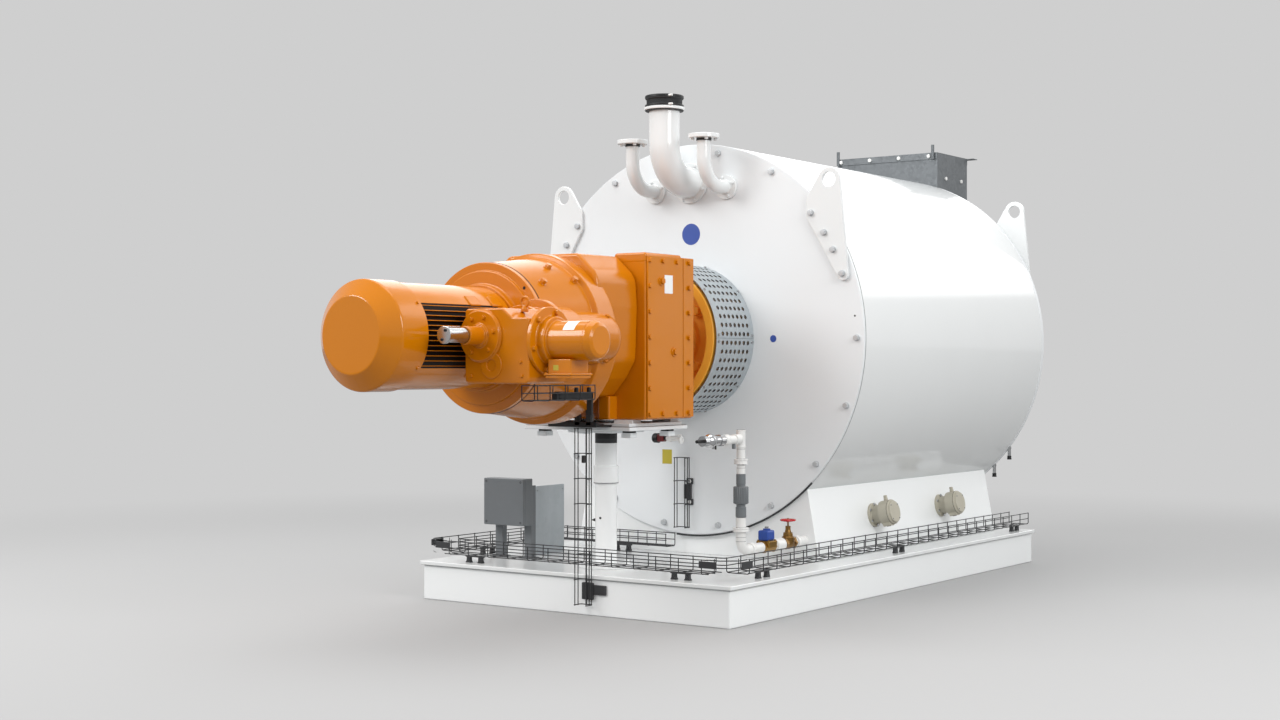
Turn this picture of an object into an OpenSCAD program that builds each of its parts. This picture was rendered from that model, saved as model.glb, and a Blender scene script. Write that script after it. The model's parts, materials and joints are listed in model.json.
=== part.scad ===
// Refiner conche: a closed horizontal drum on a plinth, driven from one end by a
// geared motor, with its water line, heaters, inlet chute and wire cable trays.
// Frame: X across the plinth, -Y towards the drive, +Y towards the inlet chute, Z up.
// The origin is the middle of the plinth's underside.

/* [Plinth] */
// Width of the plinth across the drum
plinth_w = 1500; // [1400:10:1900]
// Length of the plinth along the drum
plinth_l = 2780; // [2600:10:3400]
// Height of the plinth below its deck
plinth_h = 142; // [100:1:220]
// Thickness of the deck plate
deck_t = 16; // [10:1:30]
// Overhang of the deck plate past the plinth
deck_lip = 12; // [0:1:30]

/* [Drum] */
// Outer radius of the drum
drum_r = 838; // [690:1:900]
// Length of the drum over both end plates
drum_l = 1851; // [1700:1:2300]
// Thickness of the jacketed drum wall
shell_t = 30; // [20:1:60]
// Thickness of the front end plate
front_plate_t = 15; // [10:1:30]
// Thickness of the rear end plate
rear_plate_t = 25; // [15:1:40]
// Gap between the deck and the lowest line of the drum
drum_lift = 82; // [60:1:160]
// Distance from the plinth's front edge to the drum's front face
drum_setback = 873; // [800:1:1000]

/* [Cradle] */
// Half width of the cradle where it stands on the deck
cradle_foot = 620; // [600:1:690]
// Half width of the cradle's top edge
cradle_top = 560; // [460:1:590]
// Length of the cradle along the drum
cradle_l = 1740; // [1500:1:1800]

/* [Lifting lugs] */
// Radius of the shackle hole
lug_hole_r = 31; // [20:0.5:38]
// Thickness of a lug plate
lug_t = 16; // [10:1:30]
// Distance of the shackle hole outside the drum's radius
lug_reach = 103; // [80:1:160]

/* [Top pipes] */
// Outer radius of the extraction pipe
extract_r = 64.5; // [50:0.5:80]
// Stand-off of the extraction pipe from the front plate
extract_off = 203; // [190:1:260]
// Height of the extraction flange above the drum axis
extract_top = 974; // [930:1:1100]
// Outer radius of the two liquid pipes
liquid_r = 29; // [20:0.5:36]
// Stand-off of the liquid pipes from the front plate
liquid_off = 178; // [150:1:230]
// Sideways place of the liquid pipes
liquid_x = 182; // [160:1:260]
// Height of the liquid flanges above the drum axis
liquid_top = 852; // [820:1:920]
// Wall of every pipe
pipe_wall = 4; // [3:0.5:6]

/* [Coupling] */
// Outer radius of the coupling guard
guard_r = 316; // [280:1:360]
// Length of the coupling guard
guard_l = 286; // [240:1:340]
// Sheet thickness of the coupling guard
guard_t = 3; // [2:0.5:6]
// Outer radius of the output adaptor inside the guard's mouth
adaptor_r = 300; // [270:1:305]

/* [Gearbox] */
// Half width of the gearbox block
block_hw = 300; // [260:1:340]
// Length of the gearbox block
block_l = 331; // [280:1:380]
// Gap between the block and the coupling guard
block_gap = 152; // [120:1:200]
// Height of the block above the drum axis
block_up = 325; // [300:1:350]
// Depth of the block below the drum axis
block_down = 323; // [300:1:350]
// Radius of the gearbox barrel at its collar
barrel_r = 325; // [300:1:340]
// Drop of the motor axis below the drum axis
motor_drop = 12; // [0:1:30]

/* [Main motor] */
// Radius of the motor's bell flange
bell_r = 278; // [250:1:300]
// Radius of the motor body
motor_r = 186; // [160:1:200]
// Radius of the fan cowl
cowl_r = 192; // [165:1:210]
// Length of the straight part of the fan cowl
cowl_l = 126; // [100:1:180]
// Length of the finned motor body between cowl and bell
motor_l = 511; // [420:1:620]
// Number of cooling fins on each side
fin_n = 13; // [9:1:13]

/* [Auxiliary drive] */
// Sideways place of the auxiliary shaft
aux_x = 279; // [250:1:320]
// Radius of the auxiliary shaft
aux_shaft_r = 26; // [20:0.5:30]
// Radial running clearance of the auxiliary shaft
aux_clear = 0.05; // [0.02:0.01:0.1]
// Radius of the auxiliary motor
aux_motor_r = 68; // [55:1:75]
// Length of the auxiliary motor
aux_motor_l = 192; // [150:1:240]

/* [Table and column] */
// Half width of the drive table
table_hw = 260; // [220:1:300]
// Length of the drive table
table_l = 400; // [340:1:460]
// Thickness of the table's lower plate
table_t = 15; // [10:1:25]
// Thickness of the sole plate on the table
sole_t = 14; // [10:1:25]
// Radius of the support column
column_r = 52; // [45:1:75]

/* [Cable trays] */
// Width of the horizontal trays
tray_w = 100; // [80:5:120]
// Height of the trays
tray_h = 54; // [40:1:60]
// Spacing of the tray's cross wires
tray_pitch = 100; // [80:5:120]
// Diameter of the tray wire
wire_d = 5; // [4:0.5:6]
// Height of the tray feet
foot_h = 30; // [25:1:50]
// Distance of the front tray's middle line from the plinth's front edge
tray_inset = 60; // [56:1:80]
// Distance of the side trays' middle lines from the plinth's sides
tray_side = 42; // [40:1:60]

/* [Water line] */
// Outer radius of the water pipe
water_r = 20; // [16:0.5:24]
// Sideways place of the water line
water_x = 550; // [535:1:575]
// Height of the horizontal water pipe above the deck
water_up = 87; // [70:1:110]
// Distance of the water riser in front of the cradle
water_run = 494; // [460:1:540]
// Height of the tee above the horizontal water pipe
tee_up = 433; // [410:1:500]
// Radius of the handwheel
wheel_r = 33; // [28:1:40]

/* [Boxes and heaters] */
// Width of the junction box
jbox_w = 212; // [160:1:260]
// Height of the junction box
jbox_h = 196; // [150:1:240]
// Depth of the junction box
jbox_d = 66; // [50:1:80]
// Spacing of the two heaters along the drum
heater_gap = 655; // [500:1:800]
// Radius of a heater's terminal head
heater_r = 56; // [40:1:60]

/* [Inlet chute] */
// Width of the inlet chute
chute_w = 570; // [460:1:640]
// Depth of the inlet chute behind the rear plate
chute_d = 350; // [280:1:420]
// Height of the chute's rim above the drum axis
chute_up = 967; // [900:1:1050]
// Sheet thickness of the chute
chute_t = 4; // [3:0.5:8]

/* [Hidden] */
$fn = 64;

// Clearance between parts that only lie close to each other
fit = 0.3;

// Heights
deck_top = plinth_h + deck_t;
axis_z = deck_top + drum_lift + drum_r;
drive_z = axis_z - motor_drop;
extract_z = axis_z + drum_r - 166;
liquid_z = axis_z + drum_r - 193;

// Places along the drum, from the front plate to the chute
front_y = drum_setback - plinth_l / 2;
shell_y0 = front_y + front_plate_t;
rear_y = front_y + drum_l;
shell_y1 = rear_y - rear_plate_t;
cradle_y0 = shell_y0 + 2;
cradle_y1 = cradle_y0 + cradle_l;

// Places along the drive, from the front plate to the fan cowl
guard_y0 = front_y - guard_l;
block_y1 = guard_y0 - block_gap;
block_y0 = block_y1 - block_l;
block_step = 82;
neck_l = 214;
collar_l = 90;
barrel_y0 = block_y0 - neck_l - collar_l;
cone_l = 303;
bell_y0 = barrel_y0 - cone_l;
motor_y0 = bell_y0 - motor_l;
cowl_chamfer = 50;
cowl_y0 = motor_y0 - cowl_l - cowl_chamfer;

// Auxiliary drive
aux_box_w = 280;
aux_box_d = 208;
aux_box_h = 257;
aux_box_y0 = bell_y0 - 340;
aux_box_y1 = aux_box_y0 + aux_box_d;
aux_box_x0 = aux_x - 74;
aux_box_x1 = aux_box_x0 + aux_box_w;
aux_box_z0 = drive_z - 163;
aux_sleeve_l = 92;
aux_shaft_out = 94;
aux_motor_y = aux_box_y0 + 103;
aux_motor_z = drive_z - 18;

// Table below the gearbox
block_z0 = axis_z - block_down;
foot_pad_t = 14;
sole_top = block_z0 - foot_pad_t;
table_z1 = sole_top - sole_t;
table_z0 = table_z1 - table_t;
table_y0 = block_y0 - 48;
table_yc = table_y0 + table_l / 2;

// Trays: middle lines and floor height
tray_z = deck_top + foot_h;
tray_x = plinth_w / 2 - tray_side;
tray_y = plinth_l / 2 - tray_inset;
tray_bend = tray_w / 2 + 10;
tray_cross_y = front_y - 60;
cross_w = 70;
cross_end = 65;
small_w = 57;
small_h = 41;
riser_x = 108;
riser_y = -plinth_l / 2 - deck_lip - 2;
riser_z0 = 42;
end_tray_x = -22;
end_tray_y = front_y - 13;
end_tray_z0 = axis_z - drum_r + 30;
end_tray_l = drum_r - guard_r - 219;
stub_x = 310;
stub_y1 = bell_y0 + 243;
arm_z = drive_z - 254;
arm_t = 26;

// Water line
water_z = deck_top + water_up;
water_y = cradle_y0 - water_run;
tee_z = water_z + tee_up;
gate_y = cradle_y0 - 133;
solenoid_y = cradle_y0 - 300;

// Junction box: middle, front face and underside
jbox_x = -plinth_w / 2 + 228;
jbox_y = -plinth_l / 2 + 240;
jbox_z0 = deck_top + 140;

// Inlet chute
chute_y0 = rear_y - 34;
chute_z1 = axis_z + chute_up;
inlet_w = 400;
inlet_z0 = axis_z + 380;
inlet_z1 = axis_z + 640;

// A round bar or disc along Y
module ycyl(r, y0, y1, x = 0, z = 0) {
  translate([x, y0, z])
    rotate([-90, 0, 0])
      cylinder(r = r, h = y1 - y0);
}

// A round bar or disc along X
module xcyl(r, x0, x1, y = 0, z = 0) {
  translate([x0, y, z])
    rotate([0, 90, 0])
      cylinder(r = r, h = x1 - x0);
}

// A round bar or disc along Z
module zcyl(r, z0, z1, x = 0, y = 0) {
  translate([x, y, z0])
    cylinder(r = r, h = z1 - z0);
}

// A box between two corners
module block(a, b) {
  translate(a)
    cube(b - a);
}

// A body turned about a line along Y, from points [radius, y]
module yturn(points, x = 0, z = 0) {
  translate([x, 0, z])
    rotate([-90, 0, 0])
      rotate_extrude()
        polygon(points);
}

// A quarter bend of hollow pipe in the YZ plane, from -Y up to +Z
module pipe_bend(r, wall, bend_r) {
  rotate([0, -90, 0])
    rotate([0, 0, 180])
      rotate_extrude(angle = 90)
        translate([bend_r, 0])
          difference() {
            circle(r);
            circle(r - wall);
          }
}

// A flat link between two circles, with straight tangent sides
module link(a, ra, b, rb) {
  d = norm(b - a);
  turn = atan2(b[1] - a[1], b[0] - a[0]);
  lean = acos((ra - rb) / d);
  circle_point = function(c, r, t) c + r * [cos(t), sin(t)];
  translate(a)
    circle(ra);
  translate(b)
    circle(rb);
  polygon([
    circle_point(a, ra, turn + lean),
    circle_point(b, rb, turn + lean),
    circle_point(b, rb, turn - lean),
    circle_point(a, ra, turn - lean)
  ]);
}

// ---- Plinth and drum ----

module plinth() {
  color("gainsboro")
    block([-plinth_w / 2, -plinth_l / 2, 0], [plinth_w / 2, plinth_l / 2, plinth_h]);
}

module deck_plate() {
  hw = plinth_w / 2 + deck_lip;
  hl = plinth_l / 2 + deck_lip;
  color("whitesmoke")
    block([-hw, -hl, plinth_h], [hw, hl, deck_top]);
}

// Trough under the drum with sloped sides, hollowed to the drum's round
module drum_cradle() {
  top_z = axis_z - sqrt(pow(drum_r, 2) - pow(cradle_top, 2));
  color("white")
    difference() {
      translate([0, cradle_y1, 0])
        rotate([90, 0, 0])
          linear_extrude(cradle_l)
            polygon([
              [-cradle_foot, deck_top],
              [cradle_foot, deck_top],
              [cradle_top, top_z],
              [-cradle_top, top_z]
            ]);
      ycyl(drum_r + fit, cradle_y0 - 1, cradle_y1 + 1, 0, axis_z);
    }
}

module drum_shell() {
  color("white")
    difference() {
      ycyl(drum_r, shell_y0, shell_y1, 0, axis_z);
      ycyl(drum_r - shell_t, shell_y0 - 1, shell_y1 + 1, 0, axis_z);
    }
}

// Front plate, bored where the pipes enter the drum
module front_end_plate() {
  color("whitesmoke")
    difference() {
      ycyl(drum_r, front_y, shell_y0, 0, axis_z);
      ycyl(extract_r - pipe_wall, front_y - 1, shell_y0 + 1, 0, extract_z);
      for (side = [-1, 1])
        ycyl(liquid_r - pipe_wall, front_y - 1, shell_y0 + 1, side * liquid_x, liquid_z);
    }
}

module rear_end_plate() {
  color("whitesmoke")
    difference() {
      ycyl(drum_r, shell_y1, rear_y, 0, axis_z);
      block([-inlet_w / 2, shell_y1 - 1, inlet_z0], [inlet_w / 2, rear_y + 1, inlet_z1]);
    }
}

module rear_bearing_cover() {
  color("whitesmoke") {
    ycyl(190, rear_y, rear_y + 25, 0, axis_z);
    ycyl(130, rear_y + 25, rear_y + 90, 0, axis_z);
  }
}

// ---- Lifting lugs ----

// Outline of one lug, seen from the front, for the side where x is positive
module lug_outline() {
  reach = drum_r + lug_reach;
  eye = reach * [cos(43.5), sin(43.5)];
  seat = drum_r - 48;
  corner_in = seat * [cos(46), sin(46)] + [58, 0];
  corner_low = seat * [cos(40), sin(40)];
  tail = seat * [cos(19), sin(19)];
  eye_r = 50;
  difference() {
    union() {
      link(eye, eye_r, corner_in, 28);
      link(corner_in, 28, corner_low, 28);
      link(corner_low, 28, tail, 24);
      link(eye, eye_r, tail, 30);
      polygon([eye, corner_in, corner_low, tail]);
    }
    translate(eye)
      circle(lug_hole_r);
  }
}

// One lug on the face at y, mirrored to the side given by its sign
module lug(side, y) {
  translate([0, y + lug_t, axis_z])
    rotate([90, 0, 0])
      linear_extrude(lug_t)
        mirror([side < 0 ? 1 : 0, 0, 0])
          lug_outline();
}

module lifting_lugs() {
  color("white")
    for (side = [-1, 1]) {
      lug(side, front_y - lug_t);
      lug(side, rear_y);
    }
}

// ---- Pipes at the top of the front plate ----

// A hollow pipe from the front plate that turns up to a height, with its plate flange
module riser_pipe(x, z, r, off, top, bend_r, flange_r, flange_t) {
  y = front_y - off;
  difference() {
    ycyl(flange_r, front_y - flange_t, front_y, x, z);
    ycyl(r - pipe_wall, front_y - flange_t - 1, front_y + 1, x, z);
  }
  difference() {
    ycyl(r, y + bend_r, front_y - flange_t, x, z);
    ycyl(r - pipe_wall, y + bend_r - 1, front_y + 1, x, z);
  }
  translate([x, y + bend_r, z + bend_r])
    pipe_bend(r, pipe_wall, bend_r);
  difference() {
    zcyl(r, z + bend_r, top, x, y);
    zcyl(r - pipe_wall, z + bend_r - 1, top + 1, x, y);
  }
}

module extraction_pipe() {
  top_z = axis_z + extract_top;
  flange_t = 17;
  y = front_y - extract_off;
  color("white") {
    riser_pipe(0, extract_z, extract_r, extract_off, top_z - flange_t, 150, 86, 16);
    difference() {
      zcyl(85, top_z - flange_t, top_z, 0, y);
      zcyl(extract_r - pipe_wall, top_z - flange_t - 1, top_z + 1, 0, y);
    }
  }
}

// Flexible collar clamped on top of the extraction flange
module extraction_collar() {
  z0 = axis_z + extract_top;
  collar_h = 49;
  color("dimgray")
    translate([0, front_y - extract_off, z0])
      rotate_extrude()
        polygon([
          [66, 0], [81, 0], [81, 6], [76, 8], [76, 30], [82, 34], [82, collar_h], [66, collar_h]
        ]);
}

module liquid_pipe(side) {
  top_z = axis_z + liquid_top;
  flange_t = 18;
  flange_r = 65;
  x = side * liquid_x;
  y = front_y - liquid_off;
  color("white") {
    riser_pipe(x, liquid_z, liquid_r, liquid_off, top_z - flange_t, 110, 52, 14);
    difference() {
      zcyl(flange_r, top_z - flange_t, top_z, x, y);
      zcyl(liquid_r - pipe_wall, top_z - flange_t - 1, top_z + 1, x, y);
      for (a = [45:90:315])
        zcyl(7, top_z - flange_t - 1, top_z + 1, x + 49 * cos(a), y + 49 * sin(a));
    }
  }
}

module liquid_pipes() {
  liquid_pipe(-1);
  liquid_pipe(1);
}

// ---- Coupling ----

module coupling_guard() {
  color("silver")
    difference() {
      ycyl(guard_r, guard_y0, front_y - fit, 0, axis_z);
      ycyl(guard_r - guard_t, guard_y0 - 1, front_y + 1, 0, axis_z);
    }
}

// Dished flange in the guard's mouth, with its hub on the front plate
module output_adaptor() {
  dish_y = guard_y0 + 163;
  color("darkorange")
    difference() {
      yturn([
        [0, dish_y - 20], [120, dish_y - 20], [120, dish_y], [200, dish_y],
        [262, guard_y0], [adaptor_r, guard_y0], [adaptor_r, guard_y0 + 30], [276, guard_y0 + 33],
        [215, dish_y + 30], [150, dish_y + 30], [150, front_y], [0, front_y]
      ], 0, axis_z);
      ycyl(75 + fit, dish_y - 21, dish_y + 40, 0, axis_z);
    }
}

// Shaft from the gearbox into the adaptor's hub
module output_shaft() {
  color("gray") {
    ycyl(110, block_y1, block_y1 + 40, 0, axis_z);
    ycyl(75, block_y1 + 40, guard_y0 + 163 + 39, 0, axis_z);
  }
}

// ---- Gearbox ----

module gearbox_block() {
  x_in = 151;
  top_z = axis_z + block_up;
  barrel_seat_y = block_y0 - 80;
  color("darkorange") {
    block([-block_hw, block_y0, block_z0], [block_hw, block_y1 - block_step, top_z - 14]);
    for (side = [-1, 1])
      translate([side * (block_hw + x_in) / 2, 0, 0])
        block(
          [-(block_hw - x_in) / 2, block_y0, top_z - 15],
          [(block_hw - x_in) / 2, block_y1 - block_step, top_z]
        );
    block([-block_hw, block_y1 - block_step - 1, block_z0], [block_hw, block_y1, top_z - 14]);
    block([-x_in, barrel_seat_y, block_z0], [x_in, block_y0 + 1, block_z0 + 77]);
  }
}

// Bolted covers on both sides of the block
module gearbox_side_covers() {
  cover_t = 8;
  color("orange")
    for (side = [-1, 1])
      translate([side * (block_hw + cover_t / 2 + fit), 0, 0])
        block(
          [-cover_t / 2, block_y0 + 6, block_z0 + 14],
          [cover_t / 2, block_y1 - 6, axis_z + block_up - 22]
        );
}

// Round housing from the block to the motor's bell, with a rib along its top
module gearbox_barrel() {
  neck_r = 212;
  y1 = block_y0 - fit;
  color("darkorange") {
    yturn([
      [0, bell_y0 + 25], [262, bell_y0 + 25], [315, barrel_y0 - 16], [barrel_r, barrel_y0],
      [barrel_r, barrel_y0 + collar_l], [barrel_r - 40, barrel_y0 + collar_l + 26],
      [neck_r + 14, barrel_y0 + collar_l + 64], [neck_r, barrel_y0 + collar_l + 110],
      [neck_r, y1], [0, y1]
    ], 0, drive_z);
    block(
      [-150, barrel_y0 + 20, drive_z + 200],
      [150, y1, axis_z + block_up - 16]
    );
  }
}

module motor_bell() {
  color("darkorange")
    yturn([
      [0, bell_y0 - 40], [195, bell_y0 - 40], [195, bell_y0 - 14], [247, bell_y0 - 12],
      [247, bell_y0], [bell_r, bell_y0], [bell_r, bell_y0 + 25 - fit], [0, bell_y0 + 25 - fit]
    ], 0, drive_z);
}

// Motor body: a round core with flat fin banks on both sides
module motor_body() {
  y0 = motor_y0;
  y1 = bell_y0 - 40 - fit;
  core = 150;
  bank = 112;
  fin_t = 5;
  fin_pitch = 2 * bank / fin_n;
  color("darkorange") {
    difference() {
      ycyl(motor_r, y0, y1, 0, drive_z);
      for (side = [-1, 1])
        translate([side * (core + 50), 0, 0])
          block([-50, y0 + 6, drive_z - bank], [50, y1 - 60, drive_z + bank]);
    }
    for (side = [-1, 1], i = [0:fin_n - 1]) {
      z = -bank + fin_pitch * (i + 0.5);
      reach = sqrt(pow(motor_r, 2) - pow(abs(z) + fin_t / 2, 2)) - 1;
      translate([side * (core - 5 + reach) / 2, 0, drive_z + z])
        block(
          [-(reach - core + 5) / 2, y0 + 5, -fin_t / 2],
          [(reach - core + 5) / 2, y1 - 59, fin_t / 2]
        );
    }
  }
}

module motor_fan_cowl() {
  nose_r = cowl_r - 59;
  color("darkorange")
    yturn([
      [0, cowl_y0], [nose_r, cowl_y0], [cowl_r, cowl_y0 + cowl_chamfer],
      [cowl_r, motor_y0 - fit], [0, motor_y0 - fit]
    ], 0, drive_z);
}

// ---- Auxiliary drive ----

module aux_gearbox() {
  top_z = aux_box_z0 + aux_box_h;
  cut = 34;
  color("darkorange")
    difference() {
      union() {
        translate([0, aux_box_y1, 0])
          rotate([90, 0, 0])
            linear_extrude(aux_box_d)
              polygon([
                [aux_box_x0, aux_box_z0], [aux_box_x1, aux_box_z0],
                [aux_box_x1, top_z - cut], [aux_box_x1 - 2 * cut, top_z - cut],
                [aux_box_x1 - 3.4 * cut, top_z], [aux_box_x0, top_z]
              ]);
        ycyl(88, aux_box_y0 - 14, aux_box_y0 + 1, aux_x, drive_z);
        ycyl(40, aux_box_y0 - 22, aux_box_y0 - 13, aux_x, drive_z);
        ycyl(32, aux_box_y0 - aux_sleeve_l, aux_box_y0 - 21, aux_x, drive_z);
        lifting_eye(aux_box_x1 - 2.6 * cut, aux_box_y0 + 90, top_z - 12);
      }
      ycyl(aux_shaft_r + aux_clear, aux_box_y0 - aux_sleeve_l - 1, aux_box_y0 + 60, aux_x, drive_z);
    }
}

// Ring for a hook, standing on a round foot
module lifting_eye(x, y, z) {
  zcyl(11, z, z + 20, x, y);
  translate([x, y, z + 34])
    rotate([90, 0, 0])
      rotate_extrude()
        translate([17, 0])
          circle(5);
}

module aux_shaft() {
  y0 = aux_box_y0 - aux_sleeve_l - aux_shaft_out;
  color("lightgray") {
    ycyl(aux_shaft_r, y0, aux_box_y0 + 59, aux_x, drive_z);
    ycyl(aux_shaft_r + 4, y0 - 8, y0, aux_x, drive_z);
  }
}

module aux_motor() {
  x0 = aux_box_x1 + fit;
  flange_t = 16;
  x1 = x0 + flange_t + 30 + aux_motor_l;
  color("darkorange") {
    xcyl(116, x0, x0 + flange_t, aux_motor_y, aux_motor_z);
    xcyl(84, x0 + flange_t, x0 + flange_t + 30, aux_motor_y, aux_motor_z);
    translate([0, aux_motor_y, aux_motor_z])
      rotate([0, 90, 0])
        rotate_extrude()
          polygon([
            [0, x0 + flange_t + 29], [aux_motor_r, x0 + flange_t + 29],
            [aux_motor_r, x1 - 22], [aux_motor_r - 8, x1 - 6], [aux_motor_r - 20, x1], [0, x1]
          ]);
  }
}

// Terminal box hanging below the auxiliary motor, with its lid at the bottom
module aux_terminal_box() {
  x0 = aux_box_x1 + 72;
  x1 = x0 + 92;
  hw = 52;
  z1 = aux_motor_z - aux_motor_r - fit;
  z0 = z1 - 50;
  color("orange") {
    block([x0, aux_motor_y - hw, z0], [x1, aux_motor_y + hw, z1]);
    block([x0 - 10, aux_motor_y - hw - 10, z0 - 8], [x1 + 10, aux_motor_y + hw + 10, z0]);
  }
}

// Round housing that carries the auxiliary drive on the gearbox barrel
module aux_drive_tube() {
  color("darkorange")
    difference() {
      union() {
        ycyl(92, aux_box_y1 + fit, barrel_y0 + 150, aux_x, drive_z);
        ycyl(112, aux_box_y1 + fit, aux_box_y1 + 22, aux_x, drive_z);
      }
      ycyl(motor_r + 2, motor_y0, bell_y0, 0, drive_z);
      ycyl(barrel_r + fit, bell_y0 - 60, barrel_y0 + 400, 0, drive_z);
    }
}

// ---- Table and column ----

module drive_table() {
  yc = table_yc;
  color("white") {
    block([-table_hw, table_y0, table_z0], [table_hw, table_y0 + table_l, table_z1]);
    block([-table_hw + 12, table_y0 + 14, table_z1], [table_hw - 12, table_y0 + table_l - 24, sole_top]);
    block([-110, yc - 110, table_z0 - 14], [110, yc + 110, table_z0]);
    for (side = [-1, 1], y = [table_y0 + 69, table_y0 + table_l - 69])
      translate([side * (table_hw - 52), y, 0]) {
        block([-16, -16, table_z0 - 7], [16, 16, table_z0]);
        block([-23, -23, table_z0 - 28], [23, 23, table_z0 - 7]);
      }
  }
}

// Four pads between the gearbox and the sole plate
module gearbox_feet() {
  color("lightgray")
    for (side = [-1, 1], y = [block_y0 + 4, block_y1 - 64])
      translate([side * 190, 0, 0])
        block([-45, y, sole_top], [45, y + 60, block_z0]);
}

module support_column() {
  top_z = table_z0 - 14;
  color("white") {
    zcyl(110, deck_top, deck_top + 14, 0, table_yc);
    zcyl(column_r, deck_top + 14, top_z, 0, table_yc);
    zcyl(column_r + 7, top_z - 210, top_z - 134, 0, table_yc);
  }
}

// ---- Junction box and panel ----

module junction_box() {
  lid_t = 12;
  hw = jbox_w / 2;
  y1 = jbox_y + jbox_d;
  z1 = jbox_z0 + jbox_h;
  color("dimgray") {
    block([jbox_x - hw, jbox_y + lid_t, jbox_z0], [jbox_x + hw, y1, z1]);
    block([jbox_x - hw + 1, jbox_y, jbox_z0 + 1], [jbox_x + hw - 1, jbox_y + lid_t + 1, z1 - 1]);
  }
}

// Two posts behind the box that carry it
module junction_box_posts() {
  y0 = jbox_y + jbox_d + fit;
  color("gray")
    for (side = [-1, 1])
      translate([jbox_x + side * (jbox_w / 2 - 28), y0, 0]) {
        block([-19, 0, deck_top], [19, 30, jbox_z0 + jbox_h - 30]);
        block([-30, -8, deck_top], [30, 42, deck_top + 6]);
      }
}

// Upright sheet behind the junction box, with a terminal strip on its edge
module instrument_panel() {
  x = jbox_x + 10;
  sheet_t = 12;
  sheet_l = 198;
  sheet_h = 294;
  strip_z = deck_top + 142;
  y0 = cradle_y0 - 261 - sheet_l;
  color("silver") {
    block([x, y0, deck_top], [x + sheet_t, y0 + sheet_l, deck_top + sheet_h]);
    block([x - 7, y0, strip_z], [x + 1, y0 + 14, deck_top + sheet_h - 4]);
  }
}

// ---- Cable trays ----

// A straight wire tray along X from 0, its floor at Z = 0 and its middle on Y = 0
module wire_tray(length, w, h) {
  d = wire_d;
  n = floor((length - d) / tray_pitch);
  start = (length - n * tray_pitch) / 2;
  rails = [
    [-w / 2, h], [-w / 2, h / 2], [-w / 2, 0], [0, 0], [w / 2, 0], [w / 2, h / 2], [w / 2, h]
  ];
  for (p = rails)
    translate([0, p[0] - d / 2, p[1]])
      cube([length, d, d]);
  for (i = [0:n])
    translate([start + i * tray_pitch - d / 2, 0, 0]) {
      translate([0, -w / 2 - d / 2, 0])
        cube([d, w + d, d]);
      for (side = [-1, 1])
        translate([0, side * w / 2 - d / 2, 0])
          cube([d, d, h + d]);
    }
}

module tray_front() {
  hl = tray_x - tray_bend;
  color("black")
    translate([-hl, -tray_y, tray_z])
      wire_tray(2 * hl, tray_w, tray_h);
}

module tray_left() {
  y0 = -tray_y + tray_bend;
  y1 = tray_cross_y + 48;
  color("black")
    translate([-tray_x, y0, tray_z])
      rotate([0, 0, 90])
        wire_tray(y1 - y0, tray_w, tray_h);
}

// Tray from the left one's end, across in front of the drum
module tray_cross() {
  x0 = -tray_x + tray_w / 2 + wire_d / 2 + fit;
  color("black")
    translate([x0, tray_cross_y, tray_z])
      wire_tray(-x0 - cross_end, cross_w, tray_h);
}

module tray_right() {
  y0 = -tray_y + tray_bend;
  color("black")
    translate([tray_x, y0, tray_z])
      rotate([0, 0, 90])
        wire_tray(tray_y - y0, tray_w, tray_h);
}

// A wire between two points on one level
module wire(a, b, z) {
  run = norm(b - a);
  translate([a[0], a[1], z])
    rotate([0, 0, atan2(b[1] - a[1], b[0] - a[0])])
      translate([0, -wire_d / 2, 0])
        cube([run, wire_d, wire_d]);
}

// Bent pieces at the two front corners, a little inside the straight runs' ends
module tray_corners() {
  in = wire_d / 2;
  color("black")
    for (side = [-1, 1])
      mirror([side < 0 ? 1 : 0, 0, 0]) {
        for (e = [-1, 0, 1]) {
          off = e * (tray_w / 2 - wire_d - in);
          a = [tray_x - tray_bend + in, -tray_y + off];
          b = [tray_x - off, -tray_y + tray_bend - in];
          levels = e == 0 ? [0] : [0, tray_h / 2, tray_h];
          for (h = levels)
            wire(a, b, tray_z + wire_d + fit + h);
        }
        mid = [tray_x - tray_bend / 2, -tray_y + tray_bend / 2];
        reach = (tray_w / 2 - wire_d) * sqrt(0.5);
        translate([mid[0], mid[1], tray_z + wire_d + fit])
          rotate([0, 0, 135])
            tray_rib(reach);
      }
}

// One cross wire of a bent piece, open at the top and a little thinner than the rails
module tray_rib(reach) {
  d = wire_d - 1;
  translate([-reach - d / 2, -d / 2, 0.5])
    cube([2 * reach + d, d, d]);
  for (side = [-1, 1])
    translate([side * reach - d / 2, -d / 2, 0.5])
      cube([d, d, tray_h + d - 0.5]);
}

// Upright tray in front of the plinth, from near the floor to the table
module tray_riser() {
  color("black")
    translate([riser_x, riser_y, riser_z0])
      rotate([0, -90, 90])
        wire_tray(table_z1 - 1 - riser_z0, small_w, small_h);
}

// Short tray beside the gearbox barrel
module tray_stub() {
  color("black")
    translate([stub_x, stub_y1 - 400, arm_z - wire_d - fit])
      rotate([0, 0, 90])
        wire_tray(360, small_w, tray_h);
}

// Short upright tray on the front end plate
module tray_end_plate() {
  color("black")
    translate([end_tray_x, end_tray_y, end_tray_z0])
      rotate([0, -90, 90])
        wire_tray(end_tray_l, small_w, small_h);
}

// Black saddle foot under a horizontal tray
module tray_foot(x, y, turn) {
  translate([x, y, deck_top])
    rotate([0, 0, turn]) {
      for (side = [-1, 1])
        translate([side * 31, 0, 0]) {
          block([-15, -30, 0], [15, 30, foot_h - fit]);
          block([-19, -34, 0], [19, 34, 5]);
        }
      block([-46, -30, foot_h - 8], [46, 30, foot_h - fit]);
    }
}

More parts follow.
